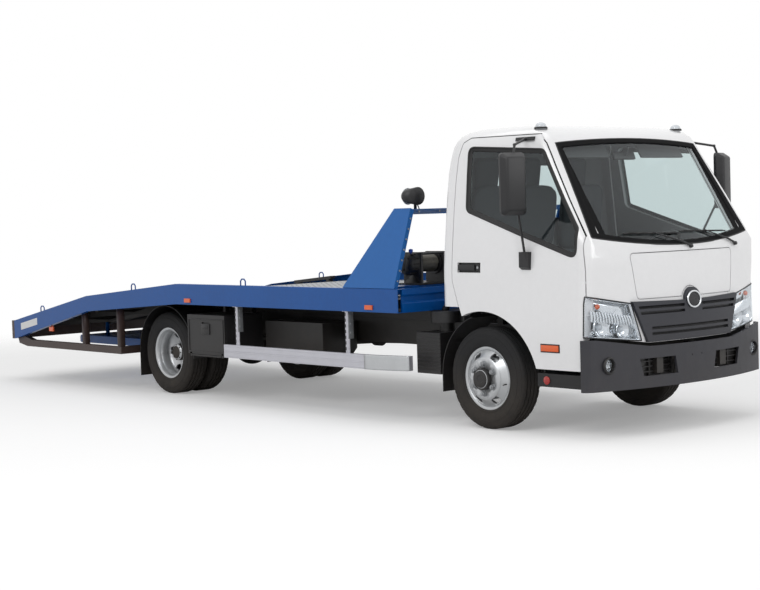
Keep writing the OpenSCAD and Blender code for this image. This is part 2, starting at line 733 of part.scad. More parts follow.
// A wing stands on the side rail and leans inwards; drawn upright, then turned at its foot
module wing() translate([0, wing_foot_y, rail_top]) rotate([wing_angle, 0, 0]) difference() {
  side_cut(-wing_t, 0) polygon([
    [wing_foot_rear, 4], [wing_front, 4], [wing_front, wing_len], [wing_head_rear, wing_len]
  ]);
  side_cut(-wing_t - 1, -4) polygon([
    [wing_foot_rear + 40, 10], [wing_front - 45, 10], [wing_front - 45, wing_len - 8],
    [wing_head_rear + 12, wing_len - 8]
  ]);
}
module headboard() placed() color([0.27, 0.51, 0.75]) {
  top_y = wing_foot_y - wing_lean;
  both_sides() difference() {
    wing();
    box([wing_foot_rear - 1, 0, 0], [wing_front + 1, far, rail_top + clear]);
  }
  // Top bar
  box([wing_front - bar_h, -top_y + 10, wing_top - bar_h - 8], [wing_front - 2, top_y - 10, wing_top - 8]);
  // Seats of the wings on the side rails
  both_sides() box([wing_foot_rear + 30, rail_out - 46, rail_top], [wing_front - 4, rail_out - 8, rail_top + 22]);
}

loop_r = 6;
loop_h = 62;
loop_w = 80;
module loop_at(x) translate([x, rail_out - 25, deck_top(x) - 2]) {
  z = loop_h - loop_r;
  for (e = [-1, 1]) translate([e * (loop_w / 2 - loop_r), 0, 0]) cylinder(h = z - 16, r = loop_r);
  for (e = [-1, 1])
    rod([e * (loop_w / 2 - loop_r), 0, z - 17], [e * (loop_w / 2 - loop_r - 17), 0, z], loop_r);
  rod([-loop_w / 2 + loop_r + 16, 0, z], [loop_w / 2 - loop_r - 16, 0, z], loop_r);
}
module tie_down_loops() placed() color([0.05, 0.3, 0.55]) both_sides()
  for (x = [-2750, -4500, -6236]) difference() {
    loop_at(x);
    side_cut(rail_in - rail_flange, rail_out + 1) polygon([
      [x - 60, 0], [x - 60, deck_top(x - 60) + clear], [x + 60, deck_top(x + 60) + clear], [x + 60, 0]
    ]);
  }

// A bar on two feet beside the left rail, along the first slope
stop_l = 600;
stop_rise = 75;
module wheel_stop() placed() color([0.07, 0.07, 0.08]) side_cut(1020, 1080) {
  x1 = stop_x - stop_l;
  polygon([
    [stop_x, floor_top(stop_x) + stop_rise - 30], [stop_x, floor_top(stop_x) + stop_rise],
    [x1, floor_top(x1) + stop_rise], [x1, floor_top(x1) + stop_rise - 30]
  ]);
  for (x = [stop_x - 30, x1 + 70]) polygon([
    [x, floor_top(x)], [x, floor_top(x) + stop_rise - 10],
    [x - 40, floor_top(x - 40) + stop_rise - 10], [x - 40, floor_top(x - 40)]
  ]);
}

module tail_frame() placed() color([0.2, 0.15, 0.13]) {
  y0 = tail_beam_y - tail_beam_w / 2;
  y1 = tail_beam_y + tail_beam_w / 2;
  post = 60;
  both_sides() {
    // Lower beam, rising to the deck at the tail
    side_cut(y0, y1) polygon([
      [tail_beam_front, tail_beam_z], [tail_beam_front, tail_beam_z + tail_beam_h],
      [tail_beam_rear + 160, tail_beam_z + tail_beam_h], [tail_beam_rear, deck_bottom(tail_beam_rear) - clear],
      [rail_end_x + 4, deck_bottom(rail_end_x + 4) - clear], [rail_end_x + 24, tail_beam_z + 28],
      [tail_beam_rear + 60, tail_beam_z]
    ]);
    // Posts under the side rails
    for (x = [knee_x - 170, tail_beam_front + 10]) side_cut(y0 + 4, y1 - 4) polygon([
      [x, tail_beam_z + 20], [x + post, tail_beam_z + 20],
      [x + post, deck_bottom(x + post) - clear], [x, deck_bottom(x) - clear]
    ]);
    // Rail end caps
    box([tail_x, rail_out - 70, tail_top - rail_h_tail], [rail_end_x - clear, rail_out, tail_top]);
  }
  // Beam across the tail, below the floor
  box([tail_x + tail_lamp_t, -rail_out + 69, tail_top - rail_h_tail], [rail_end_x - clear, rail_out - 69, tail_top - kerb_h]);
  // Cross beam of the lower frame
  box([tail_beam_front - 1, -y1, tail_beam_z], [tail_beam_front + 80, y1, tail_beam_z + tail_beam_h]);
}

module tail_lamps() placed() color([0.6, 0.05, 0.04]) both_sides()
  for (y = [760, 880]) translate([tail_x, y, tail_top - rail_h_tail + 58]) rotate([0, 90, 0])
    cylinder(h = tail_lamp_t, r = 45);

guard_out = rail_out - 20;
guard_z = 410;
guard_h = 115;
module side_guards() placed() color([0.72, 0.72, 0.76]) both_sides() {
  // Extruded rail and its curved end
  difference() {
    box([-3060, guard_out - 34, guard_z], [-1160, guard_out, guard_z + guard_h]);
    box([-3061, guard_out - 35, guard_z + 14], [-1159, guard_out - 6, guard_z + guard_h - 14]);
  }
  intersection() {
    translate([-1160, guard_out - 1200, guard_z]) cylinder(h = guard_h, r = 1200, $fn = 180);
    difference() {
      box([-1160, guard_out - 200, guard_z], [-720, guard_out, guard_z + guard_h]);
      translate([-1160, guard_out - 1200, guard_z - 1]) cylinder(h = guard_h + 2, r = 1166, $fn = 180);
    }
  }
  // Hangers up to the deck's side rails
  for (x = [-2919, -1423]) {
    box([x, guard_out - 40, guard_z + 20], [x + 50, guard_out - 34, rail_z]);
    box([x, guard_out - 90, rail_z - 6], [x + 50, guard_out - 5, rail_z]);
    box([x, guard_out - 35, guard_z + 20], [x + 50, guard_out - 5, guard_z + 95]);
  }
}

module marker(x, z, l, h) box([x - l / 2, rail_out, z - h / 2], [x + l / 2, rail_out + 12, z + h / 2]);
module marker_lamps() placed() color([0.9, 0.35, 0.05]) both_sides() {
  for (x = [-3563, -1057]) marker(x, rail_top - 147, 90, 36);
  hung_x = -6050;
  hung_z = deck_bottom(hung_x);
  box([hung_x - 40, rail_out - 22, hung_z - 62], [hung_x + 40, rail_out - 8, hung_z - 20]);
  box([hung_x - 20, rail_out - 26, hung_z - 50], [hung_x + 20, rail_out - 22, deck_bottom(hung_x - 20) - clear]);
}

lid_t = 20;
module toolbox() placed() color([0.06, 0.06, 0.07]) translate([box_x - box_l, box_y, box_z]) {
  difference() {
    box([0, lid_t + clear, 0], [box_l, box_d, box_h]);
    box([box_t, lid_t, box_t], [box_l - box_t, box_d - box_t, box_h - box_t]);
  }
  // Hinge pin on two ears under the lid, and the straps up to the deck
  for (x = [30, box_l - 54]) difference() {
    box([x, 2, -22], [x + 24, lid_t + 40, clear]);
    box([x - 1, -1, -clear], [x + 25, lid_t + clear, 10]);
  }
  bar_x(30, box_l - 30, lid_t / 2, -12, 5);
  for (x = [60, box_l - 90])
    box([x, box_d - 60, box_h - 1], [x + 30, box_d - 20, rail_top - kerb_h - floor_t - box_z]);
}
module toolbox_lid() placed() color([0.07, 0.07, 0.08]) translate([box_x - box_l, box_y, box_z]) {
  difference() {
    box([0, 0, 0], [box_l, lid_t, box_h]);
    // Latch recess, and room for the ears
    box([box_l / 2 - 60, -1, box_h * 0.62], [box_l / 2 + 60, 10, box_h * 0.62 + 70]);
    for (x = [30, box_l - 54]) box([x - 3, -1, -1], [x + 27, lid_t + 1, 14]);
  }
  // Hinge barrel
  difference() {
    union() {
      bar_x(60, box_l - 60, lid_t / 2, -12, 10);
      box([60, lid_t / 2 - 4, -12], [box_l - 60, lid_t / 2 + 4, 1]);
    }
    bar_x(59, box_l - 59, lid_t / 2, -12, 5 + clear);
  }
}

module work_lamp() placed() color([0.05, 0.05, 0.06]) {
  y = -900;
  z = wing_top - 8;
  translate([wing_front - 20, y, z]) cylinder(h = 40, r = 12);
  hull() {
    translate([wing_front - 45, y - 50, z + 100]) sphere(r = 55, $fn = 24);
    translate([wing_front - 45, y + 50, z + 100]) sphere(r = 55, $fn = 24);
    translate([wing_front + 5, y, z + 100]) rotate([0, 90, 0]) cylinder(h = 12, r = 70, $fn = 32);
  }
}

// ---- Winch ----

winch_half = 200;
drum_half = 105;
module winch() placed() color([0.06, 0.06, 0.07]) translate([winch_x, winch_y, 0]) {
  plate_z = winch_base + clear;
  box([-140, -winch_half + 10, plate_z], [140, winch_half - 10, plate_z + 12]);
  for (e = [-1, 1]) {
    y0 = e > 0 ? drum_half + 6 : -drum_half - 26;
    box([-105, y0, plate_z + 10], [105, y0 + 20, drum_z + 92]);
  }
  // Motor and gear case
  bar_y(0, drum_z, -winch_half, -drum_half - 20, 85);
  bar_y(0, drum_z, drum_half + 20, winch_half + 16, 70);
  bar_y(0, drum_z, -drum_half - 10, drum_half + 10, 18);
  for (x = [-88, 88]) bar_y(x, drum_z + 78, -drum_half - 10, drum_half + 10, 9);
}
module winch_drum() placed() color([0.35, 0.35, 0.34]) translate([winch_x, winch_y, drum_z])
  turned() polygon([
    [18 + clear, -drum_half], [92, -drum_half], [92, 8 - drum_half], [rope_r, 8 - drum_half],
    [rope_r, drum_half - 8], [92, drum_half - 8], [92, drum_half], [18 + clear, drum_half]
  ]);

// ---- Ramps ----

tray_rear = ramp_x + 40;
tray_front = tail_beam_front - 1 - clear;
module ramp_tray() placed() color([0.03, 0.27, 0.5]) {
  y1 = ramp_y + ramp_w / 2 + tray_gap;
  t = 5;
  z0 = ramp_z - tray_gap / 2 - t;
  difference() {
    box([tray_rear, -y1 - t, z0], [tray_front, y1 + t, ramp_z + ramp_h + tray_gap + t]);
    for (s = [-1, 1]) {
      a = s > 0 ? ramp_y - ramp_w / 2 - tray_gap : -y1;
      box([tray_rear - 1, a, ramp_z - tray_gap / 2],
          [tray_front - t, a + ramp_w + 2 * tray_gap, ramp_z + ramp_h + tray_gap]);
    }
  }
  // Hangers under the deck's last cross member
  for (y = [-430, 400]) box([last_cross - 15, y, ramp_z + ramp_h], [last_cross + 15, y + 30,
    floor_top(last_cross - 25) - floor_t - cross_h]);
}
module ramp(s) translate([ramp_x, s * ramp_y, ramp_z - tray_gap / 2 + clear]) {
  for (e = [-1, 1]) box([0, e * ramp_w / 2 - (e > 0 ? 30 : 0), 0], [ramp_l, e * ramp_w / 2 + (e > 0 ? 0 : 30), ramp_h]);
  for (k = [0:11]) {
    x = 30 + k * (ramp_l - 90) / 11;
    box([x, -ramp_w / 2 + 20, 15], [x + 30, ramp_w / 2 - 20, 45]);
  }
}
module ramp_left() placed() color([0.7, 0.71, 0.73]) ramp(1);
module ramp_right() placed() color([0.7, 0.71, 0.73]) ramp(-1);

// ---- Bumper ----

bumper_bow = 3000;
bumper_corner = 90;
bumper_rear = 1000;
function bumper_face(y) = nose_reach - bumper_bow + sqrt(pow(bumper_bow, 2) - pow(y, 2));
module bumper_plan(t) polygon(plan_outline(nose_reach - t, bumper_w / 2 - t, 200, bumper_bow, bumper_corner - t, 20));
module bumper() placed() color([0.18, 0.19, 0.21]) difference() {
  translate([0, 0, bumper_z]) linear_extrude(bumper_top + bumper_rise - bumper_z) difference() {
    bumper_plan(0);
    bumper_plan(bumper_t);
    translate([0, -far / 2]) square([bumper_rear, far]);
  }
  // Lower at the middle than at the corners
  front_cut(0, far / 2) polygon([
    [-bumper_w / 2 + 60, bumper_top + bumper_rise + 1], [-bumper_w / 2 + 75, bumper_top + bumper_rise],
    [-470, bumper_top], [470, bumper_top], [bumper_w / 2 - 75, bumper_top + bumper_rise],
    [bumper_w / 2 - 60, bumper_top + bumper_rise + 1]
  ]);
  // Air openings
  for (s = [-1, 1]) front_cut(0, far / 2) polygon([
    [s * 210, 430], [s * 540, 430], [s * 575, 555], [s * 235, 555]
  ]);
  // Fog lamp holes
  for (s = [-1, 1]) translate([bumper_rear, s * 830, 525]) rotate([0, 90, 0]) cylinder(h = 400, r = 48);
  // Number plate holes
  for (s = [-1, 1]) translate([bumper_rear, s * plate_holes / 2, 550]) rotate([0, 90, 0])
    cylinder(h = 400, r = plate_hole_r);
}

module fog_lamps() placed() color([0.85, 0.86, 0.88]) both_sides() {
  x = bumper_face(830);
  translate([x - 50, 830, 525]) rotate([0, 90, 0]) cylinder(h = 42, r = 48 - clear);
}

// ---- Cab ----

module door_area(grow) offset(delta = grow) polygon(door_outline);
module window_area(grow) offset(delta = grow) rounded(window_r) polygon(window_outline);

function bent_edge(a, steps) = [
  for (i = [-steps:steps]) let (u = i / steps) [a[0] * u, a[2] + (a[1] - a[2]) * pow(u, 2)]
];
module screen_area(grow) offset(delta = grow) rounded(screen_r) polygon(concat(
  bent_edge(screen_foot, 6),
  [for (i = [12:-1:0]) bent_edge(screen_top, 6)[i]]
));
module pane_area(grow) offset(delta = grow) rounded(60)
  translate([-pane[0], pane[1]]) square([2 * pane[0], pane[2] - pane[1]]);
module lamp_area(grow) offset(delta = grow) rounded(12) polygon(lamp_outline);
module grille_area(grow) offset(delta = grow) union() {
  polygon([
    [-grille_half_low, grille_z], [grille_half_low, grille_z], [grille_half, grille_top],
    [120, grille_top - 12], [-120, grille_top - 12], [-grille_half, grille_top]
  ]);
  translate([0, emblem_z]) circle(r = emblem_r + 14);
}
module hatch_area(grow) offset(delta = grow) difference() {
  rounded(hatch_r) polygon([
    [-hatch_half_low, hatch_z], [hatch_half_low, hatch_z], [hatch_half, hatch_top], [-hatch_half, hatch_top]
  ]);
  translate([0, emblem_z]) circle(r = emblem_r + 14 + hatch_gap);
}
// Space ahead of the seats, where the windscreen lies, and the space of the pieces under it
module screen_only() front_cut(430, 1400) children();
module front_only() front_cut(985, 1400) children();
// Both door openings, grown outwards
module door_space(grow) both_sides() side_cut(door_in, far) door_area(grow);
door_in = 740;                     // every part of a door lies outside this
pillar = 18;                       // windscreen pillar beside the door

// Everything that lies below the cab's lower edge
module cab_underside() {
  side_cut(-far, far) polygon([
    [-600, 300], [-600, cab_floor_z], [door_front - door_gap - 430, cab_floor_z],
    [door_front, cab_floor_z], [door_front, 300]
  ]);
  front_cut(door_front - 20, far) polygon([
    [-1100, 300], [1100, 300], [1100, nose_z + bumper_rise], [waist - 40, nose_z + bumper_rise],
    [450, nose_z], [-450, nose_z], [40 - waist, nose_z + bumper_rise], [-1100, nose_z + bumper_rise]
  ]);
}

// Seal lands that the doors close on
module door_land() difference() {
  intersection() {
    cab_solid(wall_t - 10);
    union() {
      difference() {
        door_space(15);
        door_space(0);
      }
      intersection() {
        cab_solid(door_t + clear);
        difference() {
          door_space(15);
          door_space(-22);
          box([480, -far, 0], [far, far, far]);
        }
      }
    }
  }
  cab_solid(door_t + 14);
}
module cab_shell() placed() color([0.93, 0.93, 0.93]) difference() {
  union() {
    difference() {
      cab_solid(0);
      cab_solid(wall_t);
      door_space(0);
    }
    door_land();
  }
  cab_underside();
  difference() {
    screen_only() screen_area(0);
    door_space(pillar);
  }
  front_cut(-600, -300) pane_area(0);
  both_sides() front_only() lamp_area(0);
  // Hatch opening with a lip that the hatch rests on
  front_only() hatch_area(-hatch_lip);
  difference() {
    front_only() hatch_area(0);
    cab_solid(hatch_t + clear);
  }
  front_cut(900, 1400) polygon([
    [-400, grille_z + 30], [400, grille_z + 30], [450, grille_top - 60], [-450, grille_top - 60]
  ]);
}

well_x0 = 560;
well_x1 = door_front - 6;
well_y = 700;
sill_y = waist - door_t - 16;
step_z = 458;
step_t = 16;
module step_well() {
  // Tread, inner wall, rear and front walls, and the skirt under the door
  box([well_x0, well_y, step_z - step_t], [well_x1, waist - 8, step_z]);
  box([well_x0, well_y, step_z - step_t], [well_x1, well_y + step_t, cab_floor_z + 1]);
  box([well_x0, well_y, step_z - step_t], [well_x0 + step_t, sill_y, cab_floor_z + 1]);
  box([well_x1 - step_t, well_y, step_z - step_t], [well_x1, sill_y - 60, cab_floor_z + 1]);
  box([well_x0 - 10, waist - 28, 362], [well_x1 - 8, waist - 8, step_z]);
}
module cab_floor() placed() color([0.1, 0.1, 0.11]) {
  top = cab_floor_z + cab_floor_t;
  x0 = cab_rows[0][3] + wall_t + clear;
  tunnel_y = 320;
  tunnel_x0 = -350;
  tunnel_x1 = 600;
  tunnel_z = 1120;
  t = 20;
  difference() {
    translate([0, 0, cab_floor_z]) linear_extrude(cab_floor_t) polygon([
      [x0, 30 - sill_y], [x0 + 20, -sill_y], [890, -sill_y], [985, 100 - sill_y], [door_front + 28, 240 - sill_y],
      [door_front + 28, sill_y - 240], [985, sill_y - 100], [890, sill_y], [x0 + 20, sill_y], [x0, sill_y - 30]
    ]);
    both_sides() box([well_x0 + step_t, well_y + step_t, 0], [well_x1 - step_t, far, far]);
    box([tunnel_x0, -tunnel_y, 0], [tunnel_x1, tunnel_y, far]);
  }
  // Engine tunnel
  difference() {
    box([tunnel_x0 - t, -tunnel_y - t, cab_floor_z], [tunnel_x1 + t, tunnel_y + t, tunnel_z]);
    box([tunnel_x0, -tunnel_y, 0], [tunnel_x1, tunnel_y, tunnel_z - t]);
  }
  both_sides() step_well();
  // Tilt lugs
  both_sides() side_cut(tilt_lug_y - tilt_lug_t / 2, tilt_lug_y + tilt_lug_t / 2) difference() {
    union() {
      translate([tilt_x, tilt_z]) circle(r = 30);
      translate([tilt_x - 30, tilt_z]) square([60, cab_floor_z - tilt_z + 1]);
    }
    translate([tilt_x, tilt_z]) circle(r = tilt_pin_r + clear);
  }
}

module cab_glass() placed() color([0.55, 0.65, 0.68]) {
  intersection() {
    difference() {
      cab_solid(10);
      cab_solid(10 + glass_t);
    }
    union() {
      difference() {
        screen_only() screen_area(-clear);
        door_space(pillar + clear);
      }
      front_cut(-600, -300) pane_area(-clear);
    }
  }
}

module grille() placed() color([0.14, 0.15, 0.17]) difference() {
  intersection() {
    difference() {
      cab_solid(-24);
      cab_solid(-clear);
    }
    front_only() grille_area(0);
  }
  // Air slots
  front_only() for (s = [-1, 1]) {
    polygon([[s * 100, 925], [s * 555, 925], [s * 548, 905], [s * 100, 905]]);
    polygon([[s * 100, 885], [s * 540, 885], [s * 532, 865], [s * 100, 865]]);
  }
  front_only() for (z = [715, 755]) translate([-440, z]) square([880, 20]);
}

module cab_lamps() placed() color([0.85, 0.87, 0.9]) {
  both_sides() difference() {
    intersection() {
      cab_solid(-8);
      front_only() lamp_area(-clear);
    }
    cab_solid(wall_t + 10);
    door_space(clear);
  }
  // Roof markers
  difference() {
    both_sides() translate([455, 772, 2222]) {
      translate([0, 0, -30]) cylinder(h = 34, r = 42);
      translate([0, 0, 4]) cylinder(h = 14, r1 = 42, r2 = 26);
    }
    cab_solid(-clear);
  }
}

module front_hatch() placed() color([0.93, 0.93, 0.93]) intersection() {
  difference() {
    cab_solid(0);
    cab_solid(hatch_t);
  }
  front_only() hatch_area(-hatch_gap);
}

module door(s) on_side(s) {
  difference() {
    intersection() {
      difference() {
        cab_solid(0);
        cab_solid(door_t);
      }
      side_cut(door_in, far) door_area(-door_gap);
    }
    side_cut(0, far) window_area(0);
    // Wheel arch
    side_cut(0, far) translate([0, arch_z]) circle(r = arch_r, $fn = 96);
    // Handle recess
    box([-247, waist - 26, 1175], [-2, far, 1250]);
  }
}
module door_left() placed() color([0.93, 0.93, 0.93]) door(1);
module door_right() placed() color([0.93, 0.93, 0.93]) door(-1);

module door_glass(s) on_side(s) intersection() {
  difference() {
    cab_solid(14);
    cab_solid(14 + glass_t);
  }
  side_cut(door_in, far) window_area(-clear);
}
module door_glass_left() placed() color([0.35, 0.42, 0.44]) door_glass(1);
module door_glass_right() placed() color([0.35, 0.42, 0.44]) door_glass(-1);

mirror_x = 570;
mirror_y = waist + 215;
mirror_z0 = 1595;
mirror_z1 = 2040;
module mirror_unit() {
  tube_r = 9;
  foot_z = 1270;
  top_z = 2150;
  top_y = cab_side(top_z);
  // Lower bracket and arm
  front_cut(425, 515) polygon([
    [cab_side(foot_z - 70) + clear, foot_z - 70], [cab_side(foot_z - 70) + 30, foot_z - 50],
    [cab_side(foot_z + 60) + 38, foot_z + 60], [cab_side(foot_z + 60) + clear, foot_z + 60]
  ]);
  rod([470, cab_side(foot_z) + 18, foot_z + 40], [mirror_x - 15, mirror_y - 60, mirror_z0 + 30], tube_r);
  // Upper feet and arm
  front_cut(300, 480) polygon([
    [cab_side(top_z - 18) + clear, top_z - 18], [cab_side(top_z - 18) + 16, top_z - 18],
    [cab_side(top_z + 10) + 18, top_z + 10], [cab_side(top_z + 10) + clear, top_z + 10]
  ]);
  knee = [mirror_x - 25, mirror_y - 50, 2095];
  rod([390, top_y + 12, top_z - 4], knee, tube_r);
  translate(knee) sphere(r = tube_r + 3, $fn = 24);
  rod(knee, [mirror_x - 10, mirror_y - 20, mirror_z1 - 30], tube_r);
  // Housing, turned towards the driver
  translate([mirror_x, mirror_y, (mirror_z0 + mirror_z1) / 2]) rotate([0, 0, 17]) hull()
    for (ey = [-1, 1], ez = [-1, 1]) {
      translate([-24, ey * 68, ez * 190]) rotate([0, 90, 0]) cylinder(h = 22, r = 32, $fn = 24);
      translate([30, ey * 58, ez * 172]) sphere(r = 26, $fn = 20);
    }
}
module mirror_left() placed() color([0.07, 0.07, 0.08]) mirror_unit();
module mirror_right() placed() color([0.07, 0.07, 0.08]) on_side(-1) mirror_unit();

dash_z0 = 1090;
dash_z1 = 1345;
module dashboard() placed() color([0.16, 0.17, 0.18]) {
  intersection() {
    cab_solid(door_t + 15);
    union() {
      side_cut(76 - sill_y, sill_y - 76) polygon([
        [760, dash_z0], [1300, dash_z0], [1300, dash_z1], [800, dash_z1], [720, dash_z1 - 60], [720, dash_z0 + 50]
      ]);
      // Foot of the dashboard on the cab floor
      box([900, -200, cab_floor_z + cab_floor_t], [1300, 200, dash_z0 + 1]);
    }
  }
  // Steering column in line with the wheel's axis, and its shroud
  down = [sin(wheel_rake), 0, -cos(wheel_rake)];
  hub = [wheel_x, driver_y, wheel_z];
  rod(hub + 30 * down, hub + 330 * down, 26);
  side_cut(driver_y - 34, driver_y + 34) polygon([[575, 1140], [740, 1200], [740, 1095], [640, 1050]]);
}

module steering_wheel() placed() color([0.08, 0.08, 0.09])
  translate([wheel_x, driver_y, wheel_z]) rotate([0, -wheel_rake, 0]) {
    rotate_extrude($fn = 72) translate([wheel_rim_r, 0]) circle(r = 15, $fn = 24);
    translate([0, 0, clear - 30]) cylinder(h = 30, r = 55);
    for (a = [0, 120, 240]) rotate([0, 0, a]) rod([40, 0, -12], [wheel_rim_r, 0, 0], 11);
  }

seat_z = 1215;
seat_pad = 110;
seat_back = 629;                   // top of the backrest over the cushion's underside
// A cushion and its backrest, which leans back
module seat(y0, y1) side_cut(y0, y1) polygon([
  [-300, seat_z], [200, seat_z], [200, seat_z + seat_pad], [-212, seat_z + seat_pad],
  [-279, seat_z + seat_back], [-378, seat_z + seat_back - 14], [-308, seat_z + seat_pad / 2]
]);
module seats() placed() color([0.3, 0.31, 0.33]) {
  floor_z = cab_floor_z + cab_floor_t;
  seat(250, 740);
  seat(-760, 190);
  box([-260, 360, floor_z], [160, 700, seat_z]);
  box([-260, -720, floor_z], [160, -360, seat_z]);
  box([-240, -300, 1120], [140, 180, seat_z]);
}

module wipers() placed() color([0.05, 0.05, 0.06]) difference() {
  // Each arm lies over the glass: [pivot y, blade's middle y]
  for (p = [[60, -300], [640, 290]]) {
    pivot = screen_point(p[0], 1330, 16);
    mid = screen_point(p[1], 1436, 18);
    rod(screen_point(p[0], 1330, -14), pivot, 13);
    rod(pivot - [0, 0, 6], mid, 8);
    rod(screen_point(p[1] - 240, 1440, 15), mid, 7);
    rod(mid, screen_point(p[1] + 240, 1428, 15), 7);
    translate(mid) sphere(r = 11, $fn = 24);
  }
  cab_solid(-clear);
}

chassis_frame();
engine();
driveline();
front_axle();
rear_axle();
leaf_springs();
exhaust();
fuel_tank();
battery_box();
mudguards();
bumper();
fog_lamps();
subframe();
deck_floor();
side_rails();
headboard();
bed_front_beam();
tie_down_loops();
wheel_stop();
tail_frame();
tail_lamps();
side_guards();
marker_lamps();
toolbox();
toolbox_lid();
work_lamp();
ramp_tray();
ramp_left();
ramp_right();
winch();
winch_drum();
tie_rod();
knuckle_left();
knuckle_right();
front_wheel_left();
front_wheel_right();
front_tyre_left();
front_tyre_right();
rear_wheels_left();
rear_wheels_right();
rear_tyres_left();
rear_tyres_right();
cab_shell();
cab_floor();
cab_glass();
grille();
cab_lamps();
front_hatch();
dashboard();
seats();
steering_wheel();
wipers();
door_left();
door_right();
door_glass_left();
door_glass_right();
mirror_left();
mirror_right();
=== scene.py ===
import json
import math

import bmesh
import bpy
import numpy as np
from mathutils import Matrix, Vector


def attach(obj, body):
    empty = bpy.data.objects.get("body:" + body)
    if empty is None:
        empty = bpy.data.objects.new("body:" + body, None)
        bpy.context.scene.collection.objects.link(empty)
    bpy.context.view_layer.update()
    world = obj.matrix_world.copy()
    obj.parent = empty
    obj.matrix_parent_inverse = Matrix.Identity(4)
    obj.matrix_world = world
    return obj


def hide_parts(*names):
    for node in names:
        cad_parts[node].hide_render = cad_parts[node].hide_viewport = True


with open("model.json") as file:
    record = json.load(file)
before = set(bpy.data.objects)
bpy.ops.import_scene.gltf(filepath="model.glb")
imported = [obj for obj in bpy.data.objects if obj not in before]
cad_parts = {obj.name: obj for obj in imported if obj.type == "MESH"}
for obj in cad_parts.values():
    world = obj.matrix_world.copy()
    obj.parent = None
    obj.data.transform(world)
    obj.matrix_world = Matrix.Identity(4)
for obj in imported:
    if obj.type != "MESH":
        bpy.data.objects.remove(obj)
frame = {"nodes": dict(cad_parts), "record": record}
bpy.context.view_layer.update()

AXLE_X = 2.812                       # front axle's line in the row frame, metres
WHEELBASE = 4200                     # the lengths below are in millimetres
AXLE_Z = 383.5
FRONT_WHEEL_Y = 848.5
REAR_WHEEL_Y = 758
TWIN_Y = 122.5                       # each rear tyre's middle from the pair's
SIDES = ((1, "left"), (-1, "right"))
DIRT = (0.17, 0.135, 0.1, 1)
ROUGH_VARIATION = 0.12


def P(x, y, z):
    """A point given in millimetres from the front axle's line, in the row frame."""
    return Vector((AXLE_X + x / 1000, y / 1000, z / 1000))


# ---- Materials ----

def put(tree, socket, value):
    """Sets a socket, or links it where the value is another socket; None leaves it alone."""
    if isinstance(value, bpy.types.NodeSocket):
        tree.links.new(value, socket)
    elif value is not None:
        socket.default_value = value


def node(tree, kind, *first, **named):
    """A shader node: first fills its inputs in order, named its inputs (_ for a space) or properties."""
    n = tree.nodes.new("ShaderNode" + kind)
    for key, value in named.items():
        label = key.replace("_", " ")
        if label in n.inputs:
            put(tree, n.inputs[label], value)
        else:
            setattr(n, key, value)
    for socket, value in zip(n.inputs, first):
        put(tree, socket, value)
    return n


def mix_color(tree, factor, a, b):
    """The output of a colour mix; a colour mix keeps its colours in inputs 6 and 7."""
    n = node(tree, "Mix", data_type="RGBA")
    for k, value in ((0, factor), (6, a), (7, b)):
        put(tree, n.inputs[k], value)
    return n.outputs[2]


M = {}                               # materials by name


def make_mat(name, color, rough=0.4, metal=0.0, variation=0.06, scale=2.5, grain=0.0, grain_scale=400.0,
             coat=0.0, dust=0.0, dust_top=0.9, bevel=0.003, streak=0.0, specular=0.5):
    """A mottled material from an sRGB colour; dust thins out up to dust_top, bevel is in metres."""
    color = lin(*color)
    m = M[name] = bpy.data.materials.new(name)
    m.use_nodes = True
    t = m.node_tree
    b = t.nodes["Principled BSDF"]
    b.inputs["Metallic"].default_value = metal
    b.inputs["Specular IOR Level"].default_value = specular
    if coat:
        b.inputs["Coat Weight"].default_value = coat
        b.inputs["Coat Roughness"].default_value = 0.04
    where = node(t, "TexCoord").outputs["Object"]
    big = node(t, "TexNoise", Vector=where, Scale=scale, Detail=6.0, Roughness=0.6)
    small = node(t, "TexNoise", Vector=where, Scale=scale * 17, Detail=5.0, Roughness=0.65)
    both = node(t, "Math", big.outputs["Fac"], small.outputs["Fac"], operation="MULTIPLY")
    ramp = node(t, "MapRange", Value=both.outputs[0], From_Min=0.12, From_Max=0.4)
    dark = tuple(c * (1 - variation) for c in color)
    light = tuple(min(1.0, c * (1 + variation * 0.6)) for c in color)
    out = mix_color(t, ramp.outputs["Result"], (*dark, 1), (*light, 1))
    if dust:
        height = node(t, "SeparateXYZ", where).outputs["Z"]
        low = node(t, "MapRange", Value=height, From_Min=dust_top, From_Max=0.1, To_Max=dust)
        patch = node(t, "TexNoise", Vector=where, Scale=9.0, Detail=7.0, Roughness=0.7)
        amount = node(t, "Math", low.outputs["Result"], patch.outputs["Fac"], operation="MULTIPLY")
        out = mix_color(t, amount.outputs[0], out, DIRT)
    if streak:
        stretch = node(t, "Mapping", Vector=where, Scale=(40, 40, 1.2))
        lines = node(t, "TexNoise", Vector=stretch.outputs[0], Scale=1.0, Detail=3.0)
        bend = node(t, "MapRange", Value=lines.outputs["Fac"], From_Min=0.5, From_Max=0.75,
                    To_Max=streak)
        out = mix_color(t, bend.outputs["Result"], out, tuple(c * 0.55 for c in color) + (1,))
    put(t, b.inputs["Base Color"], out)
    vary = node(t, "MapRange", Value=small.outputs["Fac"],
                To_Min=max(0.02, rough * (1 - ROUGH_VARIATION)),
                To_Max=min(1.0, rough * (1 + 2 * ROUGH_VARIATION)))
    put(t, b.inputs["Roughness"], vary.outputs["Result"])
    normal = node(t, "Bevel", samples=4, Radius=bevel).outputs[0] if bevel else None
    if grain:
        fine = node(t, "TexNoise", Vector=where, Scale=grain_scale, Detail=3.0)
        normal = node(t, "Bump", Strength=grain, Distance=0.0012, Height=fine.outputs["Fac"],
                      Normal=normal).outputs[0]
    put(t, b.inputs["Normal"], normal)


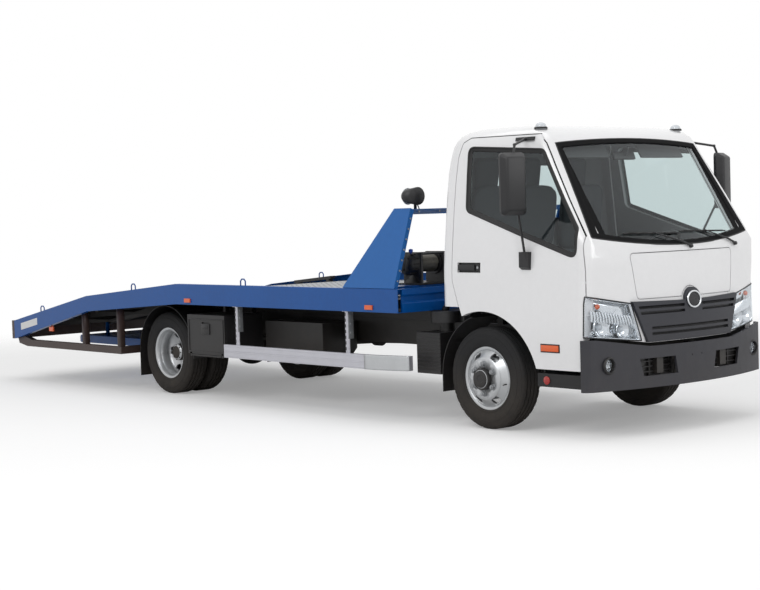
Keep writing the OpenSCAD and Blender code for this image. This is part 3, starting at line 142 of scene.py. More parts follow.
def glass_mat(name, tint):
    """Thin glass: a clear tinted sheet with a gloss on its outer face."""
    m = M[name] = bpy.data.materials.new(name)
    m.use_nodes = True
    t = m.node_tree
    t.nodes.clear()
    where = node(t, "TexCoord").outputs["Object"]
    noise = node(t, "TexNoise", Vector=where, Scale=1.3, Detail=2.0)
    bump = node(t, "Bump", Strength=0.02, Distance=0.01, Height=noise.outputs["Fac"])
    clear = node(t, "BsdfTransparent", Color=(*tint, 1))
    gloss = node(t, "BsdfGlossy", Roughness=0.01, Color=(0.9, 0.93, 0.95, 1),
                 Normal=bump.outputs[0])
    fresnel = node(t, "Fresnel", IOR=1.5)
    geometry = node(t, "NewGeometry")
    outer = node(t, "Math", 1.0, geometry.outputs["Backfacing"], operation="SUBTRACT")
    share = node(t, "Math", fresnel.outputs[0], outer.outputs[0], operation="MULTIPLY")
    mix = node(t, "MixShader", share.outputs[0], clear.outputs[0], gloss.outputs[0])
    node(t, "OutputMaterial", mix.outputs[0])


def lin(r, g, b):
    """sRGB to linear."""
    return tuple(c / 12.92 if c <= 0.04045 else ((c + 0.055) / 1.055) ** 2.4 for c in (r, g, b))


make_mat("white_paint", (0.93, 0.93, 0.935), 0.16, coat=0.6, variation=0.02, scale=1.2,
         dust=0.12, dust_top=0.8, grain=0.02, grain_scale=900, bevel=0.002)
make_mat("blue_paint", (0.0, 0.31, 0.6), 0.3, coat=0.12, specular=0.3, variation=0.08, scale=1.6,
         streak=0.1, grain=0.03, grain_scale=700)
# wing_blue is the blue paint made lighter: painted light for the extra sky light that the inward-leaning
# wing plate catches
make_mat("wing_blue", (0.1, 0.38, 0.66), 0.32, coat=0.12, specular=0.3, variation=0.05, scale=1.8,
         streak=0.05, grain=0.015, grain_scale=700)
make_mat("black_chassis", (0.1, 0.1, 0.105), 0.45, variation=0.3, scale=4, dust=0.35, grain=0.12)
make_mat("brown_paint", (0.235, 0.175, 0.165), 0.42, variation=0.22, scale=5, dust=0.25, grain=0.1)
make_mat("galvanised", (0.64, 0.65, 0.66), 0.5, metal=0.75, variation=0.14, scale=22, grain=0.08,
         grain_scale=160)
make_mat("aluminium", (0.8, 0.8, 0.83), 0.33, metal=0.6, variation=0.05, scale=6, grain=0.04, dust=0.12)
make_mat("wheel_silver", (0.78, 0.79, 0.8), 0.3, metal=0.55, variation=0.09, scale=9, dust=0.3,
         dust_top=0.62, grain=0.05)
make_mat("tyre_rubber", (0.13, 0.13, 0.135), 0.72, variation=0.2, scale=8, dust=0.3, dust_top=0.6,
         grain=0.35, grain_scale=260, bevel=0.0, specular=0.3)
make_mat("dark_plastic", (0.16, 0.165, 0.195), 0.5, variation=0.12, scale=5, grain=0.45,
         grain_scale=750, dust=0.2, bevel=0.005)
make_mat("black_plastic", (0.095, 0.095, 0.105), 0.42, variation=0.18, scale=5, grain=0.3,
         grain_scale=700, dust=0.15)
make_mat("cast_iron", (0.2, 0.19, 0.185), 0.65, metal=0.3, variation=0.3, scale=9, grain=0.4,
         grain_scale=180, dust=0.3)
make_mat("rope", (0.42, 0.41, 0.38), 0.5, metal=0.5, variation=0.25, scale=40, grain=0.5, grain_scale=350)
make_mat("seat_fabric", (0.3, 0.31, 0.33), 0.85, variation=0.15, scale=12, grain=0.6,
         grain_scale=480, bevel=0)
make_mat("interior_plastic", (0.3, 0.305, 0.31), 0.6, variation=0.08, scale=4, grain=0.3,
         grain_scale=600)
make_mat("amber_lens", (0.9, 0.36, 0.08), 0.18, variation=0.1, scale=30, coat=0.5, grain=0.2,
         grain_scale=160)
make_mat("red_lens", (0.66, 0.09, 0.06), 0.18, variation=0.1, scale=30, coat=0.5, grain=0.2,
         grain_scale=160)
make_mat("rubber", (0.07, 0.07, 0.075), 0.55, variation=0.2, scale=10, grain=0.15, grain_scale=400,
         bevel=0.002)
make_mat("frit", (0.07, 0.07, 0.075), 0.85, variation=0.15, scale=12, bevel=0, specular=0.15)
make_mat("chrome", (0.86, 0.87, 0.88), 0.08, metal=1.0, variation=0.04, scale=8, bevel=0.001)
make_mat("lamp_clear", (0.82, 0.84, 0.86), 0.12, variation=0.05, scale=20, coat=0.6, grain=0.12,
         grain_scale=140)
make_mat("liner", (0.52, 0.52, 0.53), 0.8, variation=0.08, scale=6, grain=0.3, grain_scale=500, bevel=0)
make_mat("lever_blue", (0.1, 0.3, 0.7), 0.35, variation=0.1, scale=20)
make_mat("blank_plate", (0.9, 0.9, 0.9), 0.4, variation=0.04, scale=20, bevel=0)
glass_mat("glass", (0.93, 0.96, 0.96))
glass_mat("side_glass", (0.78, 0.83, 0.83))
glass_mat("lens_glass", (0.95, 0.96, 0.97))
NODE_SLOT = {s["node"]: s["material_slot"] for s in frame["record"]["subparts"]}
BODY_OF = {n: b for b, ns in frame["record"]["behaviour"]["bodies"].items() for n in ns}

# ---- The cab's skin ----

ROWS = [
    # height, front at the middle, half width, rear, bow radius, corner radius
    (470, 1178, 977, -430, 3000, 110), (700, 1186, 980, -430, 3000, 110), (960, 1178, 980, -430, 3000, 110),
    (1200, 1155, 978, -430, 4000, 95), (1360, 1130, 966, -430, 5500, 85), (1700, 917, 930, -430, 6000, 80),
    (1920, 780, 900, -430, 6000, 80), (2030, 711, 882, -418, 6000, 80), (2120, 655, 870, -394, 6000, 80),
    (2165, 620, 856, -368, 6000, 80), (2200, 572, 836, -335, 6000, 80), (2226, 490, 795, -290, 6000, 80),
    (2244, 380, 730, -235, 6000, 80), (2258, 230, 590, -165, 6000, 80), (2270, 40, 280, -60, 6000, 80),
]
REAR_CORNER = 60                     # radius of the cab's rear corners
ROW_Z = np.array([r[0] for r in ROWS], float)
ROW_V = np.array([r[1:] for r in ROWS], float)


def section(z):
    return [float(np.interp(z, ROW_Z, ROW_V[:, k])) for k in range(5)]


def smooth_section(z):
    """The section's values, rounded over the kinks between rows."""
    reach = 60 if z < 2000 else 28 if z < 2150 else 14
    taps = [-1, -0.5, 0, 0.5, 1]
    values = [section(z + reach * k) for k in taps]
    return [sum(v[k] for v in values) / len(taps) for k in range(5)]


def arcs(values):
    """A section's corner centre from the middle, its bow's centre, and its corner centre's length."""
    xf, w, xr, rb, rc = values
    yc, xb = w - rc, xf - rb
    return yc, xb, xb + math.sqrt(max((rb - rc) ** 2 - yc ** 2, 0))


def outline_distance(x, y, values):
    """How far a point lies outside a section's outline, in millimetres."""
    w, xr, rb, rc = values[1:]
    ay = abs(y)
    yc, xb, xc = arcs(values)
    if x > xc and ay > yc * (x - xb) / max(xc - xb, 1e-6):
        return math.hypot(x - xc, ay - yc) - rc
    if x > xc:
        return math.hypot(x - xb, ay) - rb
    if x < xr + REAR_CORNER and ay > w - REAR_CORNER:
        return math.hypot(x - xr - REAR_CORNER, ay - w + REAR_CORNER) - REAR_CORNER
    if x - xr < w - ay:
        return xr - x
    return ay - w


def skin_normal(p):
    """Outward normal of the smoothed skin near a point in the row frame."""
    x, y, z = (p[0] - AXLE_X) * 1000, p[1] * 1000, p[2] * 1000
    e = 1.5                          # half the step between samples
    f = lambda a, b, c: outline_distance(a, b, smooth_section(c))
    g = Vector((f(x + e, y, z) - f(x - e, y, z), f(x, y + e, z) - f(x, y - e, z),
                f(x, y, z + 4 * e) / 4 - f(x, y, z - 4 * e) / 4))
    return g.normalized() if g.length > 1e-9 else Vector((0, 0, 1))


def skin_front(y, z, out=0.0):
    """A point on the cab's front at a width and a height, moved outwards."""
    values = section(z)
    w, rb, rc = values[1], values[3], values[4]
    yc, xb, xc = arcs(values)
    reach = rb * yc / (rb - rc)
    ay = abs(y)
    if ay <= reach:
        x = xb + math.sqrt(rb * rb - ay * ay)
    else:
        x = xc + math.sqrt(max(rc * rc - (min(ay, w) - yc) ** 2, 0))
    p = P(x, y, z)
    return p + skin_normal(p) * (out / 1000)


def skin_side(x, z, side, out=0.0):
    """A point on the cab's side at a length and a height, moved outwards; side is 1 for left."""
    values = section(z)
    w, rc = values[1], values[4]
    yc, _, xc = arcs(values)
    y = w if x <= xc else yc + math.sqrt(max(rc * rc - (x - xc) ** 2, 0))
    p = P(x, side * y, z)
    return p + skin_normal(p) * (out / 1000)


# ---- Mesh building ----

def add_object(name, data):
    o = bpy.data.objects.new(name, data)
    bpy.context.scene.collection.objects.link(o)
    return o


def object_from(bm, name, angle):
    """An object from a bmesh, smooth where its faces meet under an angle in degrees."""
    mesh = bpy.data.meshes.new(name)
    bm.to_mesh(mesh)
    bm.free()
    for poly in mesh.polygons:
        poly.use_smooth = True
    mesh.set_sharp_from_angle(angle=math.radians(angle))
    return add_object(name, mesh)


class Piece:
    """Collects shapes into one mesh."""

    def __init__(self):
        self.bm = bmesh.new()

    def _take(self, verts, faces):
        made = [self.bm.verts.new(v) for v in verts]
        for f in faces:
            try:
                self.bm.faces.new([made[i] for i in f])
            except ValueError:       # a face between the same corners is already there
                pass

    def _sheet(self, rows, round_rows=False, round_cols=False, caps=False):
        """Joins rows of points with faces; a round one also joins its last to its first."""
        n, m = len(rows), len(rows[0])
        faces = []
        for i in range(n if round_rows else n - 1):
            j = (i + 1) % n
            for k in range(m if round_cols else m - 1):
                l = (k + 1) % m
                faces.append((i * m + k, i * m + l, j * m + l, j * m + k))
        if caps:
            faces.append(tuple(range(m - 1, -1, -1)))
            faces.append(tuple((n - 1) * m + k for k in range(m)))
        self._take([v for row in rows for v in row], faces)
        return self

    def box(self, a, b, bevel=0.0, turn=None):
        """A box between two opposite corners; turn is a matrix about its middle."""
        low, high = Vector(map(min, a, b)), Vector(map(max, a, b))
        mid, half = (low + high) / 2, (high - low) / 2
        part = bmesh.new()
        bmesh.ops.create_cube(part, size=2)
        for v in part.verts:
            v.co = Vector((v.co.x * half.x, v.co.y * half.y, v.co.z * half.z))
        if bevel:
            bmesh.ops.bevel(part, geom=part.edges[:], offset=bevel, segments=2, profile=0.6,
                             affect="EDGES")
        if turn is not None:
            bmesh.ops.transform(part, matrix=turn, verts=part.verts)
        bmesh.ops.translate(part, vec=mid, verts=part.verts)
        self.merge(part)
        return self

    def merge(self, part):
        mesh = bpy.data.meshes.new("part")
        part.to_mesh(mesh)
        part.free()
        self.bm.from_mesh(mesh)
        bpy.data.meshes.remove(mesh)

    def lathe(self, profile, centre, axis="Y", n=48, closed=False, side=1, wobble=None):
        """Turns (radius, distance) points about an axis through centre; side flips the distances."""
        centre = Vector(centre)
        rings = []
        for i in range(n):
            a = 2 * math.pi * i / n
            c, s = math.cos(a), math.sin(a)
            ring = []
            for k, (r, d) in enumerate(profile):
                d = d * side
                if wobble:
                    r, d = wobble(i, k, r, d)
                u, w = r * c, r * s
                ring.append(centre + Vector({"X": (d, u, w), "Y": (u, d, w), "Z": (u, w, d)}[axis]))
            rings.append(ring)
        return self._sheet(rings, round_rows=True, round_cols=closed)

    def tube(self, points, r, n=12, caps=True):
        """A round tube along points."""
        pts = [Vector(p) for p in points]
        tangents = []
        for i in range(len(pts)):
            a, b = pts[max(i - 1, 0)], pts[min(i + 1, len(pts) - 1)]
            tangents.append((b - a).normalized())
        up = Vector((0, 0, 1)) if abs(tangents[0].z) < 0.9 else Vector((1, 0, 0))
        u = tangents[0].cross(up).normalized()
        rings = []
        for i, (p, t) in enumerate(zip(pts, tangents)):
            u = (u - t * u.dot(t)).normalized()
            w = t.cross(u)
            rad = r[i] if isinstance(r, (list, tuple)) else r
            turns = [2 * math.pi * k / n for k in range(n)]
            rings.append([p + u * (rad * math.cos(a)) + w * (rad * math.sin(a)) for a in turns])
        return self._sheet(rings, round_cols=True, caps=caps)

    def cyl(self, a, b, r, n=24, chamfer=0.0):
        a, b = Vector(a), Vector(b)
        d = (b - a).normalized()
        if chamfer:
            return self.tube([a, a + d * 1e-5, a + d * chamfer, b - d * chamfer, b - d * 1e-5, b],
                             [r - chamfer, r - chamfer, r, r, r - chamfer, r - chamfer], n)
        return self.tube([a, b], r, n)

    def hex(self, a, b, r):
        return self.cyl(a, b, r, 6, r * 0.08)

    def prism(self, points, y0, y1):
        """An outline of (x, z) points in metres, extruded between two widths."""
        part = bmesh.new()
        low, high = ([part.verts.new((x, y, z)) for x, z in points] for y in (y0, y1))
        part.faces.new(low)
        part.faces.new(high[::-1])
        for i in range(len(points)):
            part.faces.new((low[i], low[i - 1], high[i - 1], high[i]))
        bmesh.ops.recalc_face_normals(part, faces=part.faces[:])
        self.merge(part)

    def grid(self, rows, close=False):
        """A sheet through rows of points."""
        return self._sheet(rows, round_cols=close)

    def done(self, name, mat, body, slot=None, angle=35, thickness=0.0, replaces=(), recalc=True):
        if recalc:
            bmesh.ops.recalc_face_normals(self.bm, faces=self.bm.faces[:])
        o = object_from(self.bm, name, angle)
        o.data.materials.append(M[mat] if isinstance(mat, str) else mat)
        if thickness:
            s = o.modifiers.new("thickness", "SOLIDIFY")
            s.thickness = thickness
            s.offset = 0
        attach(o, body)
        if replaces:
            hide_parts(*replaces)
        return o


# ---- CAD nodes: materials, and a welded copy with clean shading ----

SKINNED = {"cab_shell", "door_left", "door_right", "front_hatch", "grille", "cab_glass", "door_glass_left",
           "door_glass_right"}
REPLACED = {"front_tyre_left", "front_tyre_right", "rear_tyres_left", "rear_tyres_right", "seats",
            "cab_lamps",
            "winch_drum", "fog_lamps", "wipers"}
# Boxy nodes, kept sharp at gentler angles
FLAT = {"toolbox", "toolbox_lid", "battery_box", "side_guards", "bumper", "mirror_left", "mirror_right"}


def welded(name):
    """A copy of a CAD node with joined corners, smooth over gentle angles, in the node's place."""
    source = frame["nodes"][name]
    bm = bmesh.new()
    bm.from_mesh(source.data)
    bmesh.ops.remove_doubles(bm, verts=bm.verts[:], dist=1e-5)
    bmesh.ops.dissolve_degenerate(bm, edges=bm.edges[:], dist=1e-6)
    o = object_from(bm, name + "_shape", 12 if name in FLAT else 30)
    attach(o, BODY_OF[name])
    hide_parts(name)
    return o


def screen_land(p):
    """Whether a point lies on the sunken land beside the windscreen."""
    x, y, z = (p[0] - AXLE_X) * 1000, p[1] * 1000, p[2] * 1000
    return x > 560 and 1345 < z < 2150 and abs(y) < 900 and outline_distance(x, y, section(z)) < -0.6


ROOF_Z = 2.21                        # above this the roof is too flat for the skin's normals


def skin_shading(o, inner_mat=None):
    """Gives faces on the cab's skin the smoothed skin's normals, and inward faces their own material."""
    mesh = o.data
    cache = {}
    if inner_mat is not None:
        mesh.materials.append(M[inner_mat])
        mesh.materials.append(M["frit"])
    corner = [Vector((0, 0, 0))] * len(mesh.loops)
    for poly in mesh.polygons:
        if poly.center.z > ROOF_Z and poly.normal.z > 0.5:
            for li in poly.loop_indices:
                corner[li] = mesh.vertices[mesh.loops[li].vertex_index].normal.copy()
            continue
        n = skin_normal(poly.center)
        facing = n.dot(poly.normal)
        on_skin = abs(facing) > 0.86     # steeper faces are cut edges, which stay flat
        if facing < -0.2 and inner_mat is not None:
            poly.material_index = 1
        elif inner_mat is not None and abs(poly.normal.y) < 0.02 and screen_land(poly.center):
            poly.material_index = 2
        for li in poly.loop_indices:
            if on_skin:
                vi = mesh.loops[li].vertex_index
                if vi not in cache:
                    cache[vi] = skin_normal(mesh.vertices[vi].co)
                corner[li] = cache[vi] * (1 if facing > 0 else -1)
            else:
                corner[li] = poly.normal.copy()
    mesh.normals_split_custom_set([tuple(v) for v in corner])


for name, source in frame["nodes"].items():
    if name in REPLACED:
        continue
    o = welded(name)
    slot_name = NODE_SLOT[name]
    material = "side_glass" if name.startswith("door_glass") else slot_name
    o.data.materials.append(M[material])
    if name in SKINNED:
        skin_shading(o, "liner" if name in ("cab_shell", "door_left", "door_right") else None)

# ---- Tyres ----


def tyre(piece, centre, side):
    """A ribbed tyre: tread with four grooves, shoulder blocks, and a bead ring on each wall."""
    wall = [(0.2235, 0.0712), (0.2385, 0.0765), (0.2385, 0.0900), (0.2440, 0.0945), (0.2520, 0.0962),
            (0.2535, 0.0990),
            (0.2575, 0.0990), (0.2590, 0.0975), (0.2750, 0.1020), (0.2985, 0.1048), (0.3200, 0.1040),
            (0.3215, 0.1055),
            (0.3245, 0.1052), (0.3260, 0.1030), (0.3420, 0.0998), (0.3560, 0.0950), (0.3575, 0.0962),
            (0.3610, 0.0950),
            (0.3620, 0.0925), (0.3700, 0.0885), (0.3765, 0.0835), (0.3800, 0.0775)]
    tread = [(0.3815, 0.0700)]
    for y in (0.0560, 0.0190):
        tread += [(0.3832, y + 0.0055), (0.3832, y + 0.0048), (0.3745, y + 0.0035), (0.3745, y - 0.0035),
                  (0.3834, y - 0.0048), (0.3834, y - 0.0055)]
    tread += [(0.3835, 0.0)]
    outer = wall + tread
    profile = [(r, -d) for r, d in outer] + [(r, d) for r, d in reversed(outer[:-1])]
    count = len(wall)
    total = len(profile)

    def wobble(i, k, r, d):
        inner = count <= k < total - count
        if inner:
            d += 0.0016 * (1 if (i // 3) % 2 else -1)
            if abs(d) > 0.064 and i % 6 == 0:
                r -= 0.004
        elif k in range(count - 3, count) or k in range(total - count, total - count + 3):
            if i % 6 == 0:
                r -= 0.0035
        return r, d
    return piece.lathe(profile, centre, "Y", 192, side=side, wobble=wobble)


def around(c, r, degrees, y=0.0):
    """A point at a radius about a wheel's middle, turned from the top and moved along the axle."""
    a = math.radians(degrees)
    return c + Vector((r * math.sin(a), y, r * math.cos(a)))


def wheel_nuts(name, body, c, side, seat, nut_end, stud_end):
    """Six nuts with washers and stud ends, placed outwards from the wheel's middle."""
    nuts = Piece()
    y = Vector((0, side, 0))
    for k in range(6):
        at = around(c, 0.111, 60 * k)
        nuts.cyl(at + y * seat, at + y * (seat + 0.0045), 0.0225, 24, 0.001)
        nuts.hex(at + y * (seat + 0.0040), at + y * nut_end, 0.0185)
        nuts.cyl(at + y * (nut_end - 0.0005), at + y * stud_end, 0.0095, 16, 0.001)
    nuts.done(name, "galvanised", body)


def rim_roll(name, body, c, side):
    """The rim's rolled edge, which shows beside the tyre's bead."""
    roll = Piece()
    roll.lathe([(0.2380, 0.0770), (0.2405, 0.0800), (0.2400, 0.0838), (0.2350, 0.0850), (0.2270, 0.0830),
                (0.2150, 0.0740), (0.2135, 0.0700), (0.2150, 0.0690), (0.2280, 0.0770)], c, "Y", 96,
               closed=True, side=side)
    roll.done(name, "wheel_silver", body)


for side, tag in SIDES:
    body = f"front_wheel_{tag}"
    c = P(0, side * FRONT_WHEEL_Y, AXLE_Z)
    tyre(Piece(), c, side).done(f"front_tyre_{tag}_tread", "tyre_rubber", body,
                                replaces=[f"front_tyre_{tag}"])
    rear = Piece()
    for k in (-1, 1):
        tyre(rear, P(-WHEELBASE, side * (REAR_WHEEL_Y + k * TWIN_Y), AXLE_Z), side)
    rear.done(f"rear_tyres_{tag}_tread", "tyre_rubber", f"rear_wheels_{tag}", replaces=[f"rear_tyres_{tag}"])

    # Front wheel
    hub = Piece()
    hub.lathe([(0.0820, 0.1235), (0.0820, 0.1540), (0.0800, 0.1575), (0.0660, 0.1590), (0.0640, 0.1620),
               (0.0635, 0.1665), (0.0590, 0.1688), (0.0300, 0.1692), (0.0280, 0.1672), (0.0, 0.1672)],
              c, "Y", 64, side=side)
    hub.done(f"front_hub_cap_{tag}", "black_plastic", body)
    wheel_nuts(f"front_nuts_{tag}", body, c, side, 0.1220, 0.1480, 0.1560)
    ring = Piece()
    ring.lathe([(0.1650, 0.1130), (0.1620, 0.1158), (0.1570, 0.1192), (0.1500, 0.1236), (0.1470, 0.1236),
                (0.1470, 0.1220), (0.1500, 0.1215), (0.1640, 0.1100)], c, "Y", 96, closed=True, side=side)
    ring.done(f"front_disc_rib_{tag}", "wheel_silver", body)
    valve = Piece()
    base = around(c, 0.196, 100, side * 0.070)
    valve.tube([base, base + Vector((0, side * 0.02, 0)), base + Vector((0, side * 0.05, -0.004))], 0.0042,
               10)
    valve.done(f"front_valve_{tag}", "black_plastic", body)
    rim_roll(f"front_rim_roll_{tag}", body, c, side)

    # Rear wheels
    body = f"rear_wheels_{tag}"
    c = P(-WHEELBASE, side * REAR_WHEEL_Y, AXLE_Z)
    rim_roll(f"rear_rim_roll_{tag}", body, c + Vector((0, side * TWIN_Y / 1000, 0)), side)
    hub = Piece()
    hub.lathe([(0.0800, 0.0130), (0.0800, 0.0900), (0.0780, 0.1180), (0.0700, 0.1230), (0.0600, 0.1250),
               (0.0580, 0.1340), (0.0540, 0.1360), (0.0, 0.1360)], c, "Y", 64, side=side)
    for k in range(8):
        hub.hex(around(c, 0.067, 45 * k, side * 0.122), around(c, 0.067, 45 * k, side * 0.130), 0.006)
    hub.done(f"rear_hub_cover_{tag}", "cast_iron", body)
    wheel_nuts(f"rear_nuts_{tag}", body, c, side, 0.0115, 0.0400, 0.0500)

# ---- Headlamps ----

LAMP = [(600, 948), (958, 1012), (966, 728),
        (520, 682)]     # y, z corners: upper inner, upper outer, lower outer, lower inner


def lamp_point(u, v, side, out, inset=0.0):
    """A point of the lamp's patch: u runs outwards and v downwards."""
    u = inset + u * (1 - 2 * inset)
    v = inset + v * (1 - 2 * inset)
    a, b, c, d = LAMP
    y = (a[0] * (1 - u) + b[0] * u) * (1 - v) + (d[0] * (1 - u) + c[0] * u) * v
    z = (a[1] * (1 - u) + b[1] * u) * (1 - v) + (d[1] * (1 - u) + c[1] * u) * v
    return skin_front(side * y, z, out)


def lamp_loop(side, out, inset, nu, nv):
    """The lamp's outline, in nu steps along its top and foot and nv along its sides."""
    across, down = (np.linspace(0, 1, n + 1)[:-1] for n in (nu, nv))
    corners = ([(t, 0) for t in across] + [(1, t) for t in down]
               + [(1 - t, 1) for t in across] + [(0, 1 - t) for t in down])
    return [lamp_point(u, v, side, out, inset) for u, v in corners]


for side, tag in SIDES:
    nu, nv = 28, 18
    lens = Piece()
    rows = []
    for j in range(nv + 1):
        row = []
        for i in range(nu + 1):
            u, v = i / nu, j / nv
            edge = min(u, 1 - u, v * 0.7, (1 - v) * 0.7)
            row.append(lamp_point(u, v, side, 7.0 - 6.0 * max(0, 1 - edge / 0.05) ** 2, 0.004))
        rows.append(row)
    lens.grid(rows)
    lens.done(f"headlamp_lens_{tag}", "lens_glass", "cab", slot="lamp_clear", thickness=0.003)
    bowl = Piece()
    rim_pts = lamp_loop(side, 0.5, 0.006, 14, 10)
    mid = sum(rim_pts, Vector()) / len(rim_pts)
    rings = []
    for depth, shrink in ((0, 1.0), (0.010, 0.985), (0.012, 0.95), (0.030, 0.93), (0.046, 0.9)):
        rings.append([mid + (p - mid) * shrink - Vector((depth, 0, 0)) for p in rim_pts])
    bowl.grid(rings, close=True)
    back = rings[-1]
    centre = sum(back, Vector()) / len(back)
    steps = [[centre + (p - centre) * s for p in back] for s in (1.0, 0.75, 0.5, 0.25, 0.02)]
    bowl.grid(steps, close=True)
    bowl.done(f"headlamp_bowl_{tag}", "chrome", "cab", slot="lamp_clear", thickness=0.002, recalc=False)
    # Ribbed reflector band across the middle
    band = Piece()
    ribs = 15
    for k in range(ribs):
        u = 0.10 + 0.80 * k / (ribs - 1)
        a, b = lamp_point(u, 0.34, side, -16), lamp_point(u, 0.60, side, -10)
        band.tube([a, (a + b) / 2 + Vector((0.006, 0, 0)), b], 0.0085, 10)
    band.done(f"headlamp_ribs_{tag}", "chrome", "cab", slot="lamp_clear")
    # Round lamps with their bulbs
    round_lamps = Piece()
    eyes = Piece()
    for u, v, r in ((0.30, 0.73, 0.062), (0.72, 0.72, 0.070)):
        p = lamp_point(u, v, side, -20)
        round_lamps.lathe([(r + 0.004, -0.002), (r + 0.002, 0.004), (r, 0.004), (r - 0.006, -0.002),
                           (r * 0.75, -0.014),
                           (r * 0.5, -0.022), (r * 0.25, -0.026)], p, "X", 40)
        eyes.lathe([(r * 0.32, -0.02), (r * 0.32, -0.004), (r * 0.28, 0.002), (r * 0.16, 0.007),
                    (0.0, 0.009)],
                   p + Vector((-0.004, 0, 0)), "X", 32)
    round_lamps.done(f"headlamp_reflectors_{tag}", "chrome", "cab", slot="lamp_clear")
    eyes.done(f"headlamp_eyes_{tag}", "lamp_clear", "cab")
    blinker = Piece()
    p = lamp_point(0.74, 0.2, side, -16)
    blinker.lathe([(0.019, -0.012), (0.019, -0.003), (0.016, 0.004), (0.010, 0.008), (0.0, 0.010)], p, "X",
                  28)
    blinker.done(f"headlamp_blinker_{tag}", "amber_lens", "cab")
    trim = Piece()
    loop = lamp_loop(side, 1.0, -0.004, 24, 16)
    trim.tube(loop + [loop[0]], 0.0042, 8, caps=False)
    trim.done(f"headlamp_gasket_{tag}", "rubber", "cab")

roof, feet = Piece(), Piece()
for s in (-1, 1):
    roof.lathe([(0.041, -0.012), (0.041, 0.008), (0.040, 0.014), (0.035, 0.026), (0.025, 0.035),
                (0.012, 0.039),
                (0.0, 0.0395)], P(455, s * 772, 2224), "Z", 40)
    feet.lathe([(0.049, -0.006), (0.049, 0.004), (0.046, 0.008), (0.040, 0.009)], P(455, s * 772, 2222), "Z",
               40)
roof.done("roof_markers", "lamp_clear", "cab", replaces=["cab_lamps"])
feet.done("roof_marker_feet", "rubber", "cab")

# ---- Emblem ring, fog lamps, bumper details ----

ring = Piece()
c = skin_front(0, 948, 26)
tilt = skin_normal(c)
turn = tilt.to_track_quat("X", "Z").to_matrix()
pts = []
for k in range(65):
    a = 2 * math.pi * k / 64
    pts.append(c + turn @ Vector((0.004, 0.073 * math.cos(a), 0.058 * math.sin(a))))
ring.tube(pts, 0.0075, 12, caps=False)
ring.done("emblem_ring", "chrome", "cab")
disc = Piece()
rows = []
for rr, out in ((0.0, 3), (0.03, 3), (0.055, 2), (0.066, 0)):
    rows.append([c + turn @ Vector((out / 1000, rr * math.cos(2 * math.pi * k / 48),
                                    rr * 0.8 * math.sin(2 * math.pi * k / 48)))
                 for k in range(48)])
disc.grid(rows, close=True)
disc.done("emblem_disc", "black_plastic", "cab", thickness=0.003)

fog, bowls, bezel = Piece(), Piece(), Piece()
FOG_Y, BUMPER_BOW = 830, 3000        # the bumper's face is an arc about a point behind it
x = 1226 - BUMPER_BOW + math.sqrt(BUMPER_BOW ** 2 - FOG_Y ** 2)
for s in (-1, 1):
    base = P(x - 40, s * FOG_Y, 525)
    fog.lathe([(0.047, 0.0), (0.047, 0.020), (0.043, 0.026), (0.030, 0.031), (0.0, 0.034)], base, "X", 40)
    bezel.lathe([(0.047, 0.030), (0.047, 0.044), (0.052, 0.050), (0.060, 0.047), (0.063, 0.036),
                 (0.060, 0.034)],
                base, "X", 48, closed=True)
    base = P(x - 44, s * FOG_Y, 525)
    bowls.lathe([(0.046, 0.022), (0.040, 0.006), (0.028, -0.006), (0.016, -0.010), (0.0, -0.011)], base, "X",
                40)
    bowls.lathe([(0.012, -0.010), (0.012, 0.006), (0.008, 0.012), (0.0, 0.014)], base, "X", 24)
    for k in range(-3, 4):
        bowls.tube([base + Vector((0.016, k * 0.011, -0.036)), base + Vector((0.020, k * 0.011, 0.036))],
                   0.0022, 6)
fog.done("fog_lamp_glasses", "lens_glass", "chassis", slot="lamp_clear", replaces=["fog_lamps"])
bowls.done("fog_lamp_bowls", "chrome", "chassis", slot="lamp_clear")
bezel.done("fog_lamp_bezels", "black_plastic", "chassis")

# Dark mesh behind the grille, and boxes behind the bumper's air openings
GRILLE_FOOT = 676


def grille_row(half_foot, z, out):
    """A row of points across the grille, which widens upwards."""
    half = half_foot + 118 * (z - GRILLE_FOOT) / 262
    return [skin_front(half * (-1 + 2 * i / 24), z, out) for i in range(25)]


backing = Piece()
backing.grid([grille_row(470, GRILLE_FOOT + 262 * k / 8, 1.5) for k in range(9)])
for k in range(13):
    backing.tube(grille_row(466, 682 + 21 * k, 5), 0.003, 6)
backing.done("grille_mesh", "black_plastic", "cab", thickness=0.002)
intake = Piece()
for s in (-1, 1):
    intake.box(P(1124, s * 392 - 200, 420), P(1130, s * 392 + 200, 568), 0.002)
    for z in (455, 492, 530):
        intake.box(P(1129, s * 392 - 196, z - 4), P(1150, s * 392 + 196, z + 4), 0.002)
    for y in (200, 330, 455, 585):
        intake.box(P(1129, s * y - 4, 424), P(1152, s * y + 4, 566), 0.002)
intake.done("bumper_intakes", "black_plastic", "chassis")

# ---- Windscreen: black border, seal, wipers, mirror and visors inside ----

SCREEN_TOP = (790, 2106, 2140)
SCREEN_FOOT = (885, 1425, 1352)


def screen_loop(top_in, foot_in, inset, out, n=40):
    """The windscreen's outline on the skin, its sides pulled in at top and foot, its ends by inset."""
    pts = []
    top_z = lambda u: SCREEN_TOP[1] * u * u + SCREEN_TOP[2] * (1 - u * u) - inset
    foot_z = lambda u: SCREEN_FOOT[1] * u * u + SCREEN_FOOT[2] * (1 - u * u) + inset
    top_w, foot_w = SCREEN_TOP[0] - top_in, SCREEN_FOOT[0] - foot_in
    for k in range(n + 1):
        u = -1 + 2 * k / n
        pts.append((foot_w * u, foot_z(u)))
    side = []
    steps = 16
    for k in range(1, steps):
        v = k / steps
        side.append((foot_w + (top_w - foot_w) * v, foot_z(1) + (top_z(1) - foot_z(1)) * v))
    pts += side
    for k in range(n + 1):
        u = 1 - 2 * k / n
        pts.append((top_w * u, top_z(u)))
    pts += [(-y, z) for y, z in reversed(side)]
    return [skin_front(y, z, out) for y, z in pts]


